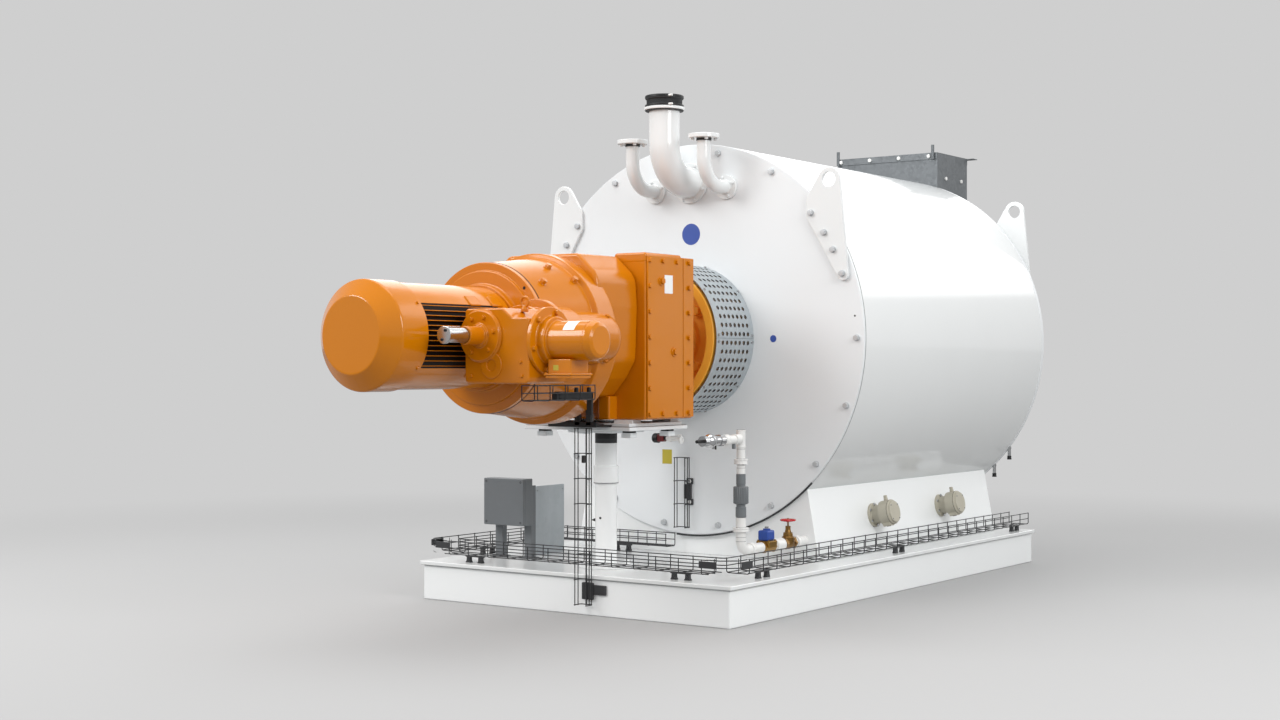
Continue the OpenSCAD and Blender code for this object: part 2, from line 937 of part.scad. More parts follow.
module tray_feet() {
  color("black") {
    for (x = [jbox_x, plinth_w / 2 - 255])
      tray_foot(x, -tray_y, 0);
    for (y = [-tray_y + 237, 39, tray_y - 57])
      tray_foot(tray_x, y, 90);
    tray_foot(-tray_x, -tray_y + 300, 90);
    tray_foot(jbox_x + 204, tray_cross_y, 0);
  }
}

// Stand on the table's front edge: a low link passes under the barrel to the arm in the stub tray
module tray_bracket() {
  bar_h = 23;
  bar_t = 12;
  arm_l = 218;
  link_z = arm_z - 54;
  z0 = table_z1 + fit;
  y0 = riser_y - 22;
  post_z = arm_z + arm_t;
  color("black") {
    block([riser_x - 176, y0, z0], [riser_x + 60, y0 + bar_t, z0 + bar_h]);
    block([riser_x - 176, y0, z0], [riser_x + 60, table_y0 + 10, z0 + 8]);
    for (x = [riser_x - 50, riser_x + 7])
      block([x - 14, y0, z0], [x + 14, y0 + bar_t, post_z]);
    block([riser_x - 50, y0, arm_z], [riser_x + 7, y0 + bar_t, post_z]);
    hull() {
      block([riser_x + 7, y0, link_z], [riser_x + 33, y0 + bar_t, link_z + 24]);
      block([stub_x - bar_t, stub_y1 - bar_t, link_z], [stub_x + bar_t, stub_y1, link_z + 24]);
    }
    block([stub_x - bar_t, stub_y1 - bar_t, link_z], [stub_x + bar_t, stub_y1, post_z]);
    block([stub_x - bar_t, stub_y1 - arm_l, arm_z], [stub_x + bar_t, stub_y1, post_z]);
  }
}

// Clips that hold the upright trays, and splice plates at the bent corners
module tray_clips() {
  clip_z = 62;
  z = end_tray_z0 + 97;
  plinth_y = -plinth_l / 2 - fit;
  color("black") {
    block([riser_x - 28, riser_y + fit, clip_z], [riser_x + 24, plinth_y, clip_z + 66]);
    block([riser_x + 23, plinth_y - 9, clip_z + 20], [riser_x + 84, plinth_y, clip_z + 58]);
    block([riser_x - 30, riser_y + fit, table_z0 + 2], [riser_x + 30, table_y0 - fit, table_z0 + 13]);
    block([end_tray_x - 8, end_tray_y + fit, z + 26], [end_tray_x + 27, front_y - fit, z + 89]);
    for (h = [0, 89])
      block([end_tray_x + 3, front_y - 9, z + h], [end_tray_x + 35, front_y - fit, z + h + 26]);
    for (side = [-1, 1])
      mirror([side < 0 ? 1 : 0, 0, 0])
        translate([tray_x - tray_bend - 6, -tray_y - tray_w / 2 - wire_d / 2 - 2 - fit, tray_z + 27])
          block([-40, -2, 0], [20, 2, 26]);
    for (side = [-1, 1])
      translate([side * (tray_x + tray_w / 2 + wire_d / 2 + 2 + fit), -tray_y + tray_bend + 22, tray_z + 27])
        block([-2, -20, 0], [2, 40, 26]);
  }
}

// ---- Water line ----

module water_pipe() {
  r = water_r;
  big = r + 7;
  bend_r = 40;
  color("white") {
    translate([water_x, water_y + bend_r, water_z + bend_r])
      pipe_bend(r, pipe_wall, bend_r);
    difference() {
      union() {
        zcyl(r, water_z + bend_r, water_z + 127, water_x, water_y);
        zcyl(big, water_z + 64, water_z + 88, water_x, water_y);
        zcyl(r, water_z + 252, tee_z + 36, water_x, water_y);
        zcyl(big, water_z + 328, water_z + 352, water_x, water_y);
        zcyl(big - 2, tee_z - 32, tee_z + 36, water_x, water_y);
      }
      zcyl(r - pipe_wall, water_z + bend_r - 1, tee_z + 30, water_x, water_y);
    }
    difference() {
      union() {
        ycyl(r, water_y - 82, water_y - r + 4, water_x, tee_z);
        ycyl(big - 2, water_y - 52, water_y - r + 4, water_x, tee_z);
      }
      ycyl(r - pipe_wall, water_y - 83, water_y, water_x, tee_z);
      zcyl(r - pipe_wall, tee_z - 40, tee_z + 30, water_x, water_y);
    }
    difference() {
      union() {
        ycyl(r, water_y + bend_r, solenoid_y - 42, water_x, water_z);
        ycyl(big - 2, water_y + 62, water_y + 84, water_x, water_z);
      }
      ycyl(r - pipe_wall, water_y + bend_r - 1, solenoid_y - 41, water_x, water_z);
    }
    difference() {
      union() {
        ycyl(r, solenoid_y + 42, gate_y - 42, water_x, water_z);
        ycyl(big, solenoid_y + 52, gate_y - 52, water_x, water_z);
      }
      ycyl(r - pipe_wall, solenoid_y + 41, gate_y - 41, water_x, water_z);
    }
    difference() {
      union() {
        ycyl(r, gate_y + 42, cradle_y0 - fit, water_x, water_z);
        ycyl(big, gate_y + 50, gate_y + 76, water_x, water_z);
      }
      ycyl(r - pipe_wall, gate_y + 41, cradle_y0, water_x, water_z);
    }
  }
}

// Grey union in the riser
module riser_union() {
  z0 = water_z + 127 + fit;
  height = 124;
  color("slategray")
    translate([water_x, water_y, z0])
      rotate_extrude()
        polygon([
          [0, 0], [21, 0], [24, 6], [24, 36], [18, 40], [18, 50], [30, 52], [30, 84],
          [18, 86], [18, 92], [22, 94], [22, height], [0, height]
        ]);
}

// Chrome ball valve that ends in the water inlet
module ball_valve() {
  y1 = water_y - 82 - fit;
  port_r = 12;
  color("silver")
    difference() {
      union() {
        ycyl(24, y1 - 30, y1, water_x, tee_z);
        ycyl(19, y1 - 60, y1 - 30, water_x, tee_z);
        translate([water_x, y1 - 84, tee_z])
          sphere(27);
        ycyl(21, y1 - 140, y1 - 100, water_x, tee_z);
        zcyl(7, tee_z - 52, tee_z - 20, water_x, y1 - 84);
      }
      ycyl(port_r, y1 - 141, y1 - 110, water_x, tee_z);
    }
  color("black")
    difference() {
      ycyl(15, y1 - 188, y1 - 140, water_x, tee_z);
      ycyl(port_r, y1 - 189, y1 - 139, water_x, tee_z);
    }
}

// Brass solenoid valve with its blue coil
module solenoid_valve() {
  y = solenoid_y;
  color("peru") {
    ycyl(26, y - 42 + fit, y + 42 - fit, water_x, water_z);
    block([water_x - 32, y - 32, water_z - 4], [water_x + 32, y + 32, water_z + 24]);
  }
  color("royalblue") {
    block([water_x - 24, y - 30, water_z + 24], [water_x + 24, y + 30, water_z + 66]);
    zcyl(18, water_z + 66, water_z + 78, water_x, y);
  }
}

module gate_valve() {
  y = gate_y;
  stem_r = 4;
  color("peru") {
    ycyl(25, y - 42 + fit, y + 42 - fit, water_x, water_z);
    translate([water_x, y, water_z])
      rotate_extrude()
        polygon([
          [0, 0], [26, 0], [26, 24], [20, 32], [20, 44], [12, 60], [12, 72],
          [stem_r, 74], [stem_r, 100], [0, 100]
        ]);
  }
}

// Spoked wheel that turns about the gate valve's stem
module gate_valve_handwheel() {
  z = water_z + 88;
  color("crimson")
    difference() {
      union() {
        translate([water_x, gate_y, z + 4])
          rotate_extrude()
            translate([wheel_r - 4, 0])
              circle(4);
        zcyl(9, z - 4, z + 8, water_x, gate_y);
        for (a = [0:60:150])
          translate([water_x, gate_y, z + 2])
            rotate([0, 0, a])
              translate([-wheel_r + 4, -2.5, 0])
                cube([2 * wheel_r - 8, 5, 4]);
      }
      zcyl(4.05, z - 6, z + 10, water_x, gate_y);
    }
}

// Small motorised drain valve on the front plate, below the table
module drain_valve() {
  z = axis_z - guard_r - 107;
  y = front_y - 90;
  color("white") {
    ycyl(14, y, front_y - fit, -56, z);
    xcyl(17, -60, 10, y, z);
    xcyl(24, 10, 18, y, z);
  }
  color("darkred")
    block([-112, y - 24, z - 20], [-58, y + 24, z + 24]);
  color("black")
    xcyl(26, -142, -111, y, z);
}

// ---- Heaters ----

// A heater with its flange on the cradle's sloped side and a round terminal head
module heater(y) {
  top_z = axis_z - sqrt(pow(drum_r, 2) - pow(cradle_top, 2));
  slope = atan2(cradle_foot - cradle_top, top_z - deck_top);
  mid_z = deck_top + 156;
  mid_x = cradle_foot - (mid_z - deck_top) * tan(slope);
  gland_r = 9;
  translate([mid_x, y, mid_z])
    rotate([0, 90 - slope, 0]) {
      zcyl(heater_r - 2, fit, 14);
      zcyl(heater_r - 14, 13, 52);
      zcyl(heater_r, 51, 104);
      zcyl(heater_r - 5, 103, 112);
      rotate([0, -90, 0])
        translate([76, 0, 0])
          cylinder(r = gland_r, h = heater_r + 22);
      rotate([0, 90, 0])
        translate([-34, -16, 0])
          cylinder(r = gland_r, h = heater_r + 6);
    }
}

module immersion_heaters() {
  y = cradle_y0 + 530;
  color("tan")
    for (i = [0:1])
      heater(y + i * heater_gap);
}

// ---- Inlet chute ----

// Sheet box over the drum's rear rim: open above, and open through the plate into the drum
module inlet_chute() {
  hw = chute_w / 2;
  y1 = chute_y0 + chute_d;
  color("silver")
    difference() {
      chute_body(hw, chute_y0, y1, 0);
      chute_body(hw - chute_t, chute_y0 + chute_t, y1 - chute_t, chute_t);
      block([-inlet_w / 2, rear_y - 1, inlet_z0], [inlet_w / 2, rear_y + 2 * chute_t, inlet_z1]);
    }
}

// Body of the chute, drawn in by t from its floor, with a notch for the drum's rim
module chute_body(hw, y0, y1, t) {
  rear_face = rear_y + fit + t;
  floor_z = inlet_z0 - 20 + t;
  knee_y = rear_y + 46;
  slope_z = axis_z + 700 + 2 * t;
  difference() {
    translate([hw, 0, 0])
      rotate([90, 0, -90])
        linear_extrude(2 * hw)
          polygon([
            [-y0, floor_z], [-knee_y, floor_z], [-y1, slope_z],
            [-y1, chute_z1 + t], [-y0, chute_z1 + t]
          ]);
    ycyl(drum_r + fit + t, y0 - 1, rear_face, 0, axis_z);
  }
}

// Angle bars along the chute's front and rear rims, with two locating pins
module chute_angles() {
  hw = chute_w / 2;
  y0 = chute_y0 - fit;
  y1 = chute_y0 + chute_d + fit;
  leg = 34;
  t = 4;
  ear = 36;
  color("gray") {
    block([-hw, y0 - t, chute_z1 - leg], [hw, y0, chute_z1]);
    for (x = [-hw + 9, hw - 20])
      zcyl(8, chute_z1 - leg, chute_z1 + 38, x, y0 - t - 8);
    block([-hw, y1, chute_z1 - leg], [hw, y1 + t, chute_z1]);
    block([-hw - ear, y1, chute_z1 - t], [hw + ear, y1 + 50, chute_z1]);
  }
}

// Two short drain pipes under the drum's rear rim
module rear_drain_stubs() {
  y = rear_y - rear_plate_t / 2;
  color("gray")
    difference() {
      for (x = [583, 662]) {
        top = axis_z - sqrt(pow(drum_r, 2) - pow(x, 2)) + 14;
        zcyl(8, top - 56, top, x, y);
        zcyl(11, top - 74, top - 55, x, y);
      }
      ycyl(drum_r + fit, y - 20, y + 20, 0, axis_z, $fn = 720);
    }
}

plinth();
deck_plate();
drum_cradle();
drum_shell();
front_end_plate();
rear_end_plate();
rear_bearing_cover();
lifting_lugs();
extraction_pipe();
extraction_collar();
liquid_pipes();
coupling_guard();
output_adaptor();
output_shaft();
gearbox_block();
gearbox_side_covers();
gearbox_barrel();
motor_bell();
motor_body();
motor_fan_cowl();
aux_gearbox();
aux_shaft();
aux_motor();
aux_terminal_box();
aux_drive_tube();
drive_table();
gearbox_feet();
support_column();
junction_box();
junction_box_posts();
instrument_panel();
tray_front();
tray_left();
tray_cross();
tray_right();
tray_corners();
tray_riser();
tray_stub();
tray_end_plate();
tray_feet();
tray_bracket();
tray_clips();
water_pipe();
riser_union();
ball_valve();
solenoid_valve();
gate_valve();
gate_valve_handwheel();
drain_valve();
immersion_heaters();
inlet_chute();
chute_angles();
rear_drain_stubs();
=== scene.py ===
"""Looks of a refiner conche: a drum on a plinth, its drive, water line, heaters, chute and wire trays.

Lengths are millimetres in the classes below and become metres when a mesh is made. The frame is the CAD
model's: X across the plinth, -Y towards the drive, +Y towards the chute, Z up, floor at Z = 0.
"""
import json
import logging
from dataclasses import dataclass, field
from enum import Enum
from typing import Any, Iterable, Optional, Sequence

import bpy
import numpy as np
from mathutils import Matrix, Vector


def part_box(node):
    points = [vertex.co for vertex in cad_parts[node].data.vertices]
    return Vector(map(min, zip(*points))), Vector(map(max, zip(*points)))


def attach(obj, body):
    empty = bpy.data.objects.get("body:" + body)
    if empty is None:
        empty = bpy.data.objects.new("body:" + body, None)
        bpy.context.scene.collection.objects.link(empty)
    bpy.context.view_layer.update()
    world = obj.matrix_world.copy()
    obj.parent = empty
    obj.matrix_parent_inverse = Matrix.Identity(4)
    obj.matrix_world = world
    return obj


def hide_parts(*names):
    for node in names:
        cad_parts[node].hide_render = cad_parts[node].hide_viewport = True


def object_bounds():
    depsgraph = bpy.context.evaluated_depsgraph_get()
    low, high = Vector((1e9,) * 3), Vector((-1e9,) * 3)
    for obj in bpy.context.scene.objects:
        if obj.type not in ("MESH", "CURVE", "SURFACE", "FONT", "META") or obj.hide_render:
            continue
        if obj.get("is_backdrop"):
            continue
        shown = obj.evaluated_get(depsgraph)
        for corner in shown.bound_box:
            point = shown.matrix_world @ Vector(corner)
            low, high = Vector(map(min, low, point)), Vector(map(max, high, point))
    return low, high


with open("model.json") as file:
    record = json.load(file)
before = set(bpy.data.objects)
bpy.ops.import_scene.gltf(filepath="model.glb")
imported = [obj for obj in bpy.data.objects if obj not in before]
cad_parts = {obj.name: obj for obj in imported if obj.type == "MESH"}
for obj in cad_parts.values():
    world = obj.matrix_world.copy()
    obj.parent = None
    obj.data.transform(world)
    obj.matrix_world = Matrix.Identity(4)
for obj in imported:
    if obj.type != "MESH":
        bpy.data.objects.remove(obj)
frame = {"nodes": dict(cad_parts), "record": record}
CAD_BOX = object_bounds()

LOG = logging.getLogger("refiner_conche")
MM = 0.001
SMOOTH_ANGLE = np.radians(38.0)


class Axis(Enum):
    """The direction that a shape is drawn along, as the place of (first, second, along) in X, Y, Z."""

    X = (1, 2, 0)
    Y = (0, 2, 1)
    Z = (0, 1, 2)


def span(node: str) -> tuple[np.ndarray, np.ndarray]:
    """Lowest and highest corner of a CAD node in millimetres.

    Args:
        node: name of the CAD node.

    Returns:
        Two arrays of X, Y, Z.
    """
    low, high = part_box(node)
    return np.array(low) / MM, np.array(high) / MM


def box_corner(node: str, which: int) -> Any:
    """A dataclass field that holds the lowest (0) or the highest (1) corner of a CAD node."""
    return field(default_factory=lambda: span(node)[which])


def round_span(node: str) -> tuple[float, float, float]:
    """Start, end and radius in millimetres of a round CAD node that lies along Y.

    Args:
        node: name of the CAD node.

    Returns:
        Lowest Y, highest Y and half the width.
    """
    low, high = span(node)
    return low[1], high[1], (high[0] - low[0]) / 2


def unit(vectors: np.ndarray) -> np.ndarray:
    """Each vector divided by its own length."""
    return vectors / np.maximum(np.linalg.norm(vectors, axis=-1, keepdims=True), 1e-12)


@dataclass
class Surface:
    """A shape as points and faces; a face is a run of corner numbers in loops.

    Attributes:
        points: N x 3 places in millimetres.
        loops: corner numbers of all faces, one after the other.
        sizes: how many corners each face has.
        paint: which of a piece's finishes each face takes.
    """

    points: np.ndarray
    loops: np.ndarray
    sizes: np.ndarray
    paint: np.ndarray

    @classmethod
    def join(cls, parts: Iterable["Surface"]) -> "Surface":
        """One surface from several, with the corner numbers shifted.

        Args:
            parts: the surfaces, in the order that their faces keep.

        Returns:
            The joined surface.
        """
        parts = list(parts)
        starts = np.cumsum([0] + [len(p.points) for p in parts[:-1]])
        return cls(
            np.concatenate([p.points for p in parts]),
            np.concatenate([p.loops + s for p, s in zip(parts, starts)]),
            np.concatenate([p.sizes for p in parts]),
            np.concatenate([p.paint for p in parts]),
        )

    def painted(self, index: int) -> "Surface":
        """The same surface with every face in one of the piece's finishes."""
        return Surface(self.points, self.loops, self.sizes, np.full(len(self.sizes), index))

    def merged(self) -> "Surface":
        """The same surface with points that fall together, to a thousandth of a millimetre, made one."""
        _, first, back = np.unique(np.round(self.points, 3), axis=0, return_index=True, return_inverse=True)
        return Surface(self.points[first], back.ravel()[self.loops], self.sizes, self.paint)

    def first_normal(self) -> np.ndarray:
        """Direction that the first face looks in: the cross product of its first two edges."""
        a, b, c = self.points[self.loops[:3]]
        return np.cross(b - a, c - b)

    def looking(self, direction: Sequence[float]) -> "Surface":
        """The same open surface turned so that its first face looks along a direction."""
        return self if self.first_normal() @ np.asarray(direction, float) > 0 else self.reversed()

    def moved(self, x: float = 0.0, y: float = 0.0, z: float = 0.0) -> "Surface":
        """The same surface shifted by x, y, z."""
        return Surface(self.points + np.array([x, y, z]), self.loops, self.sizes, self.paint)

    def reversed(self) -> "Surface":
        """The same surface with its faces turned the other way: each face's corners are read backwards.

        Returns:
            The reversed surface.
        """
        ends = np.cumsum(self.sizes)
        face = np.repeat(np.arange(len(self.sizes)), self.sizes)
        step = np.arange(len(self.loops)) - (ends - self.sizes)[face]
        return Surface(self.points, self.loops[ends[face] - 1 - step], self.sizes, self.paint)

    def outward(self) -> "Surface":
        """The same closed surface with its faces pointing out: the volume summed over face fans is positive.

        Returns:
            The surface itself, or its reverse.
        """
        ends = np.cumsum(self.sizes)
        firsts = np.repeat(self.loops[ends - self.sizes], self.sizes)
        nexts = np.roll(self.loops, -1)
        nexts[ends - 1] = self.loops[ends - self.sizes]
        middle = self.points.mean(axis=0)
        a, b, c = (self.points[i] - middle for i in (firsts, self.loops, nexts))
        volume = np.einsum("ij,ij->i", a, np.cross(b, c)).sum()
        return self if volume >= 0 else self.reversed()

    def mirrored(self) -> "Surface":
        """The other hand of the surface, mirrored across the plane X = 0."""
        return Surface(self.points * [-1, 1, 1], self.loops, self.sizes, self.paint).reversed()

    def turned(self, degrees: float, axis: Axis = Axis.Z, at: Sequence[float] = (0, 0, 0)) -> "Surface":
        """The surface turned about a line through a point: p' = R (p - at) + at.

        Args:
            degrees: the turn, positive from the axis's first direction towards its second.
            axis: direction of the line.
            at: a point of the line.

        Returns:
            The turned surface.
        """
        spot = np.array(at, float)
        points = (self.points - spot) @ turns([degrees], axis)[0].T + spot
        return Surface(points, self.loops, self.sizes, self.paint)

    def scattered(self, places: np.ndarray, frames: Optional[np.ndarray] = None) -> "Surface":
        """Copies of the surface, copy k at places[k] and turned by frames[k].

        Args:
            places: K x 3 places.
            frames: K x 3 x 3 rotation matrices, or None for no turn.

        Returns:
            All copies as one surface.
        """
        places = np.atleast_2d(np.asarray(places, float))
        count = len(places)
        if frames is None:
            frames = np.broadcast_to(np.eye(3), (count, 3, 3))
        points = np.einsum("kij,nj->kni", frames, self.points) + places[:, None, :]
        shift = np.arange(count)[:, None] * len(self.points)
        return Surface(
            points.reshape(-1, 3),
            (self.loops[None, :] + shift).ravel(),
            np.tile(self.sizes, count),
            np.tile(self.paint, count),
        )


def turns(degrees: Sequence[float], axis: Axis) -> np.ndarray:
    """Rotation matrices, one per angle, about an axis.

    Args:
        degrees: the angles, positive from the axis's first direction towards its second.
        axis: the line of rotation.

    Returns:
        K x 3 x 3 matrices.
    """
    angle = np.radians(np.asarray(degrees, float))
    first, second, along = axis.value
    out = np.zeros((len(angle), 3, 3))
    out[:, along, along] = 1
    out[:, first, first] = out[:, second, second] = np.cos(angle)
    out[:, second, first] = np.sin(angle)
    out[:, first, second] = -np.sin(angle)
    return out


def placed(flat: np.ndarray, along: np.ndarray, axis: Axis) -> np.ndarray:
    """Points from flat (first, second) pairs and their place along an axis.

    Args:
        flat: ... x 2 pairs in the axis's plane.
        along: places along the axis, shaped like flat without its last index or spread to it.
        axis: the direction that along runs in.

    Returns:
        ... x 3 points.
    """
    flat, along = np.asarray(flat, float), np.asarray(along, float)
    out = np.empty(np.broadcast_shapes(flat.shape[:-1], along.shape) + (3,))
    first, second, third = axis.value
    out[..., first], out[..., second], out[..., third] = flat[..., 0], flat[..., 1], along
    return out


def skin(rings: np.ndarray, looped: bool = False, caps: bool = True) -> Surface:
    """The surface over a stack of closed rings: quads join ring i to ring i + 1, corner j to corner j + 1.

    Args:
        rings: M x N x 3 points, M rings of N corners.
        looped: joins the last ring to the first.
        caps: closes the first and the last ring with one face each.

    Returns:
        A closed surface that faces outwards.
    """
    count, corners = rings.shape[:2]
    i = np.arange(count if looped else count - 1)[:, None]
    j = np.arange(corners)[None, :]
    k, n = (j + 1) % corners, (i + 1) % count
    quads = np.stack(np.broadcast_arrays(i * corners + j, i * corners + k, n * corners + k,
                                         n * corners + j), -1)
    loops, sizes = [quads.reshape(-1)], [np.full(quads.size // 4, 4)]
    if caps and not looped:
        loops += [np.arange(corners)[::-1], np.arange(corners) + (count - 1) * corners]
        sizes += [np.array([corners, corners])]
    sizes = np.concatenate(sizes)
    made = Surface(rings.reshape(-1, 3), np.concatenate(loops), sizes, np.zeros(len(sizes), int))
    return made.outward()


def rounded(points: Sequence, radius: float | Sequence[float], steps: int = 3, closed: bool = True,
            share: float = 0.42, lead: float = 0.35) -> np.ndarray:
    """A line with each corner replaced by an arc that touches both its sides.

    The arc starts r / tan(half the corner's angle) from the corner, at most a share of the shorter side, and
    one more point past each end keeps the shading of the flat beside it flat.

    Args:
        points: N x D corners.
        radius: one radius or one per corner; an open line's ends stay sharp.
        steps: how many pieces an arc has.
        closed: whether the line returns to its start.
        share: the most of a side that an arc may take.
        lead: how far past the arc the extra point lies, as a share of the radius; 0 leaves it out.

    Returns:
        The points of the rounded line.
    """
    corner = np.asarray(points, float)
    radii = np.broadcast_to(np.asarray(radius, float), (len(corner),)).copy()
    before, after = np.roll(corner, 1, 0) - corner, np.roll(corner, -1, 0) - corner
    room = share * np.minimum(np.linalg.norm(before, axis=1), np.linalg.norm(after, axis=1))
    u, v = unit(before), unit(after)
    half = np.arccos(np.clip(np.einsum("ij,ij->i", u, v), -1, 1)) / 2
    tangent = np.tan(np.clip(half, 1e-4, np.pi / 2 - 1e-4))
    radii = np.minimum(radii, room * tangent)
    reach = radii / tangent
    centre = corner + unit(u + v) * (radii / np.maximum(np.sin(half), 1e-9))[:, None]
    start, end = corner + u * reach[:, None] - centre, corner + v * reach[:, None] - centre
    sweep = np.pi - 2 * half
    t = np.linspace(0, 1, steps + 1)[None, :, None]
    s = np.maximum(np.sin(sweep), 1e-9)[:, None, None]
    w = sweep[:, None, None]
    arcs = centre[:, None] + (np.sin((1 - t) * w) * start[:, None] + np.sin(t * w) * end[:, None]) / s
    if lead:
        past = np.minimum(reach + lead * radii, 1.15 * room)[:, None, None]
        arcs = np.concatenate([corner[:, None] + u[:, None] * past, arcs,
                               corner[:, None] + v[:, None] * past], 1)
    straight = (sweep < 1e-3) | (radii < 1e-6)
    keep = np.ones(arcs.shape[:2], bool)
    keep[straight, 1:] = False
    arcs[straight, 0] = corner[straight]
    if not closed:
        keep[[0, -1], 1:] = False
        arcs[[0, -1], 0] = corner[[0, -1]]
    return arcs[keep]


def circle(radius: float, count: int = 48, x: float = 0.0, y: float = 0.0) -> np.ndarray:
    """Points round a circle: (x + r cos t, y + r sin t)."""
    t = np.linspace(0, 2 * np.pi, count, endpoint=False)
    return np.stack([x + radius * np.cos(t), y + radius * np.sin(t)], -1)


def inset(outline: np.ndarray, by: float | Sequence[float]) -> np.ndarray:
    """An anticlockwise outline drawn in: each corner moves along the sum of its sides' normals, mitred.

    Args:
        outline: N x 2 corners.
        by: one distance or several, positive inwards.

    Returns:
        M x N x 2 corners, one outline per distance.
    """
    side = unit(np.roll(outline, -1, 0) - outline)
    normal = np.stack([-side[:, 1], side[:, 0]], -1)
    other = np.roll(normal, 1, 0)
    mitre = (normal + other) / np.maximum(1 + np.einsum("ij,ij->i", normal, other), 0.25)[:, None]
    return outline[None] + np.asarray(by, float).reshape(-1, 1, 1) * mitre[None]


def prism(outline: np.ndarray, low: float, high: float, axis: Axis, edge: float = 1.5,
          steps: int = 3) -> Surface:
    """An outline carried along an axis, with both end edges rounded.

    Level k of an end edge lies edge (1 - sin t) in from the end and edge (1 - cos t) inside the outline.

    Args:
        outline: N x 2 corners in the axis's (first, second) plane.
        low: start along the axis.
        high: end along the axis.
        axis: direction of the prism.
        edge: radius of the end edges.
        steps: pieces in each rounded edge.

    Returns:
        A closed surface.
    """
    nxt = np.roll(outline, -1, 0)
    if np.sum(outline[:, 0] * nxt[:, 1] - nxt[:, 0] * outline[:, 1]) < 0:
        outline = outline[::-1]
    edge = min(edge, 0.45 * abs(high - low))
    t = np.linspace(0, np.pi / 2, steps + 1)
    up = np.concatenate([[0], edge * (1 - np.cos(t)), [1.3 * edge]])
    into = np.concatenate([[1.35 * edge], edge * (1 - np.sin(t)), [0]])
    up[-1] = min(up[-1], 0.5 * abs(high - low))
    levels = np.concatenate([low + up, (high - up)[::-1]])
    rings = inset(outline, np.concatenate([into, into[::-1]]))
    return skin(placed(rings, levels[:, None], axis))


def block(low: Sequence[float], high: Sequence[float], edge: float = 2.0, axis: Axis = Axis.Z) -> Surface:
    """A box between two corners with every edge rounded to about the same radius.

    Args:
        low: one corner.
        high: the opposite corner.
        edge: radius of the edges.
        axis: the direction whose end edges are rounded last.

    Returns:
        A closed surface.
    """
    low, high = np.minimum(low, high).astype(float), np.maximum(low, high).astype(float)
    first, second, along = axis.value
    a, b, c, d = low[first], low[second], high[first], high[second]
    outline = rounded([(a, b), (c, b), (c, d), (a, d)], 1.5 * edge)
    return prism(outline, low[along], high[along], axis, edge)


def lathe(profile: Sequence, axis: Axis, at: Sequence[float], segments: int = 96,
          looped: bool = False) -> Surface:
    """A profile turned about an axis: point (a, r) becomes the circle of radius r at a along the axis.

    Args:
        profile: (along, radius) pairs; an open profile is closed by a flat face at each end.
        axis: direction of the axis of rotation.
        at: a point of the axis; its coordinate along the axis is not used.
        segments: pieces round the circle.
        looped: the profile closes on itself, as for a ring or a pipe.

    Returns:
        A closed surface.
    """
    profile = np.asarray(profile, float)
    flat = circle(1.0, segments)[None] * profile[:, 1, None, None]
    spot = np.asarray(at, float)
    flat = flat + spot[[axis.value[0], axis.value[1]]]
    return skin(placed(flat, profile[:, 0, None], axis), looped=looped)


def turned_part(profile: Sequence, soft: float | Sequence[float], axis: Axis, at: Sequence[float],
                segments: int = 96, steps: int = 3) -> Surface:
    """A profile with rounded corners turned about an axis, with a flat face at each end."""
    return lathe(rounded(profile, soft, steps, closed=False), axis, at, segments)


def drum_of(low: float, high: float, radius: float, axis: Axis, at: Sequence[float], edge: float = 2.0,
            segments: int = 64) -> Surface:
    """A plain round bar or disc with rounded end edges."""
    tip = max(radius - 2.0 * edge, 0.3 * radius)
    return turned_part([(low, tip), (low, radius), (high, radius), (high, tip)], edge, axis, at, segments)


def ring_of(low: float, high: float, inner: float, outer: float, axis: Axis, at: Sequence[float],
            edge: float = 1.5, segments: int = 64) -> Surface:
    """A ring or a straight pipe with rounded edges."""
    profile = rounded([(low, inner), (low, outer), (high, outer), (high, inner)], edge)
    return lathe(profile, axis, at, segments, looped=True)


def swept(path: np.ndarray, section: np.ndarray, normal: Sequence[float], looped: bool = False) -> Surface:
    """A section carried along a line that lies in a plane.

    Corner (a, b) of the section lands at path + a (normal x tangent) + b normal, where the tangent is the
    central difference of the path.

    Args:
        path: M x 3 points.
        section: N x 2 corners, or M x N x 2 when it changes along the path.
        normal: unit normal of the path's plane.
        looped: the path closes on itself.

    Returns:
        A closed surface.
    """
    path = np.asarray(path, float)
    if looped:
        tangent = unit(np.roll(path, -1, 0) - np.roll(path, 1, 0))
    else:
        tangent = unit(np.gradient(path, axis=0))
    up = np.asarray(normal, float)
    side = unit(np.cross(up, tangent))
    section = np.broadcast_to(section, (len(path),) + np.shape(section)[-2:])
    rings = path[:, None] + section[..., :1] * side[:, None] + section[..., 1:] * up
    return skin(rings, looped=looped)


def pipe(path: np.ndarray, outer: float, inner: float, normal: Sequence[float], sides: int = 48) -> Surface:
    """A hollow pipe along a line in a plane: the outer skin out and the bore back, joined at both ends.

    Args:
        path: M x 3 points of the middle line.
        outer: radius of the outer skin.
        inner: radius of the bore.
        normal: unit normal of the path's plane.
        sides: pieces round the pipe.

    Returns:
        A closed surface.
    """
    path = np.asarray(path, float)
    tangent = unit(np.gradient(path, axis=0))
    up = np.asarray(normal, float)
    side = unit(np.cross(up, tangent))
    flat = circle(1.0, sides)
    shell = [path[:, None] + r * (flat[None, :, :1] * side[:, None] + flat[None, :, 1:] * up)
             for r in (outer, inner)]
    return skin(np.concatenate([shell[0], shell[1][::-1]]), looped=True)


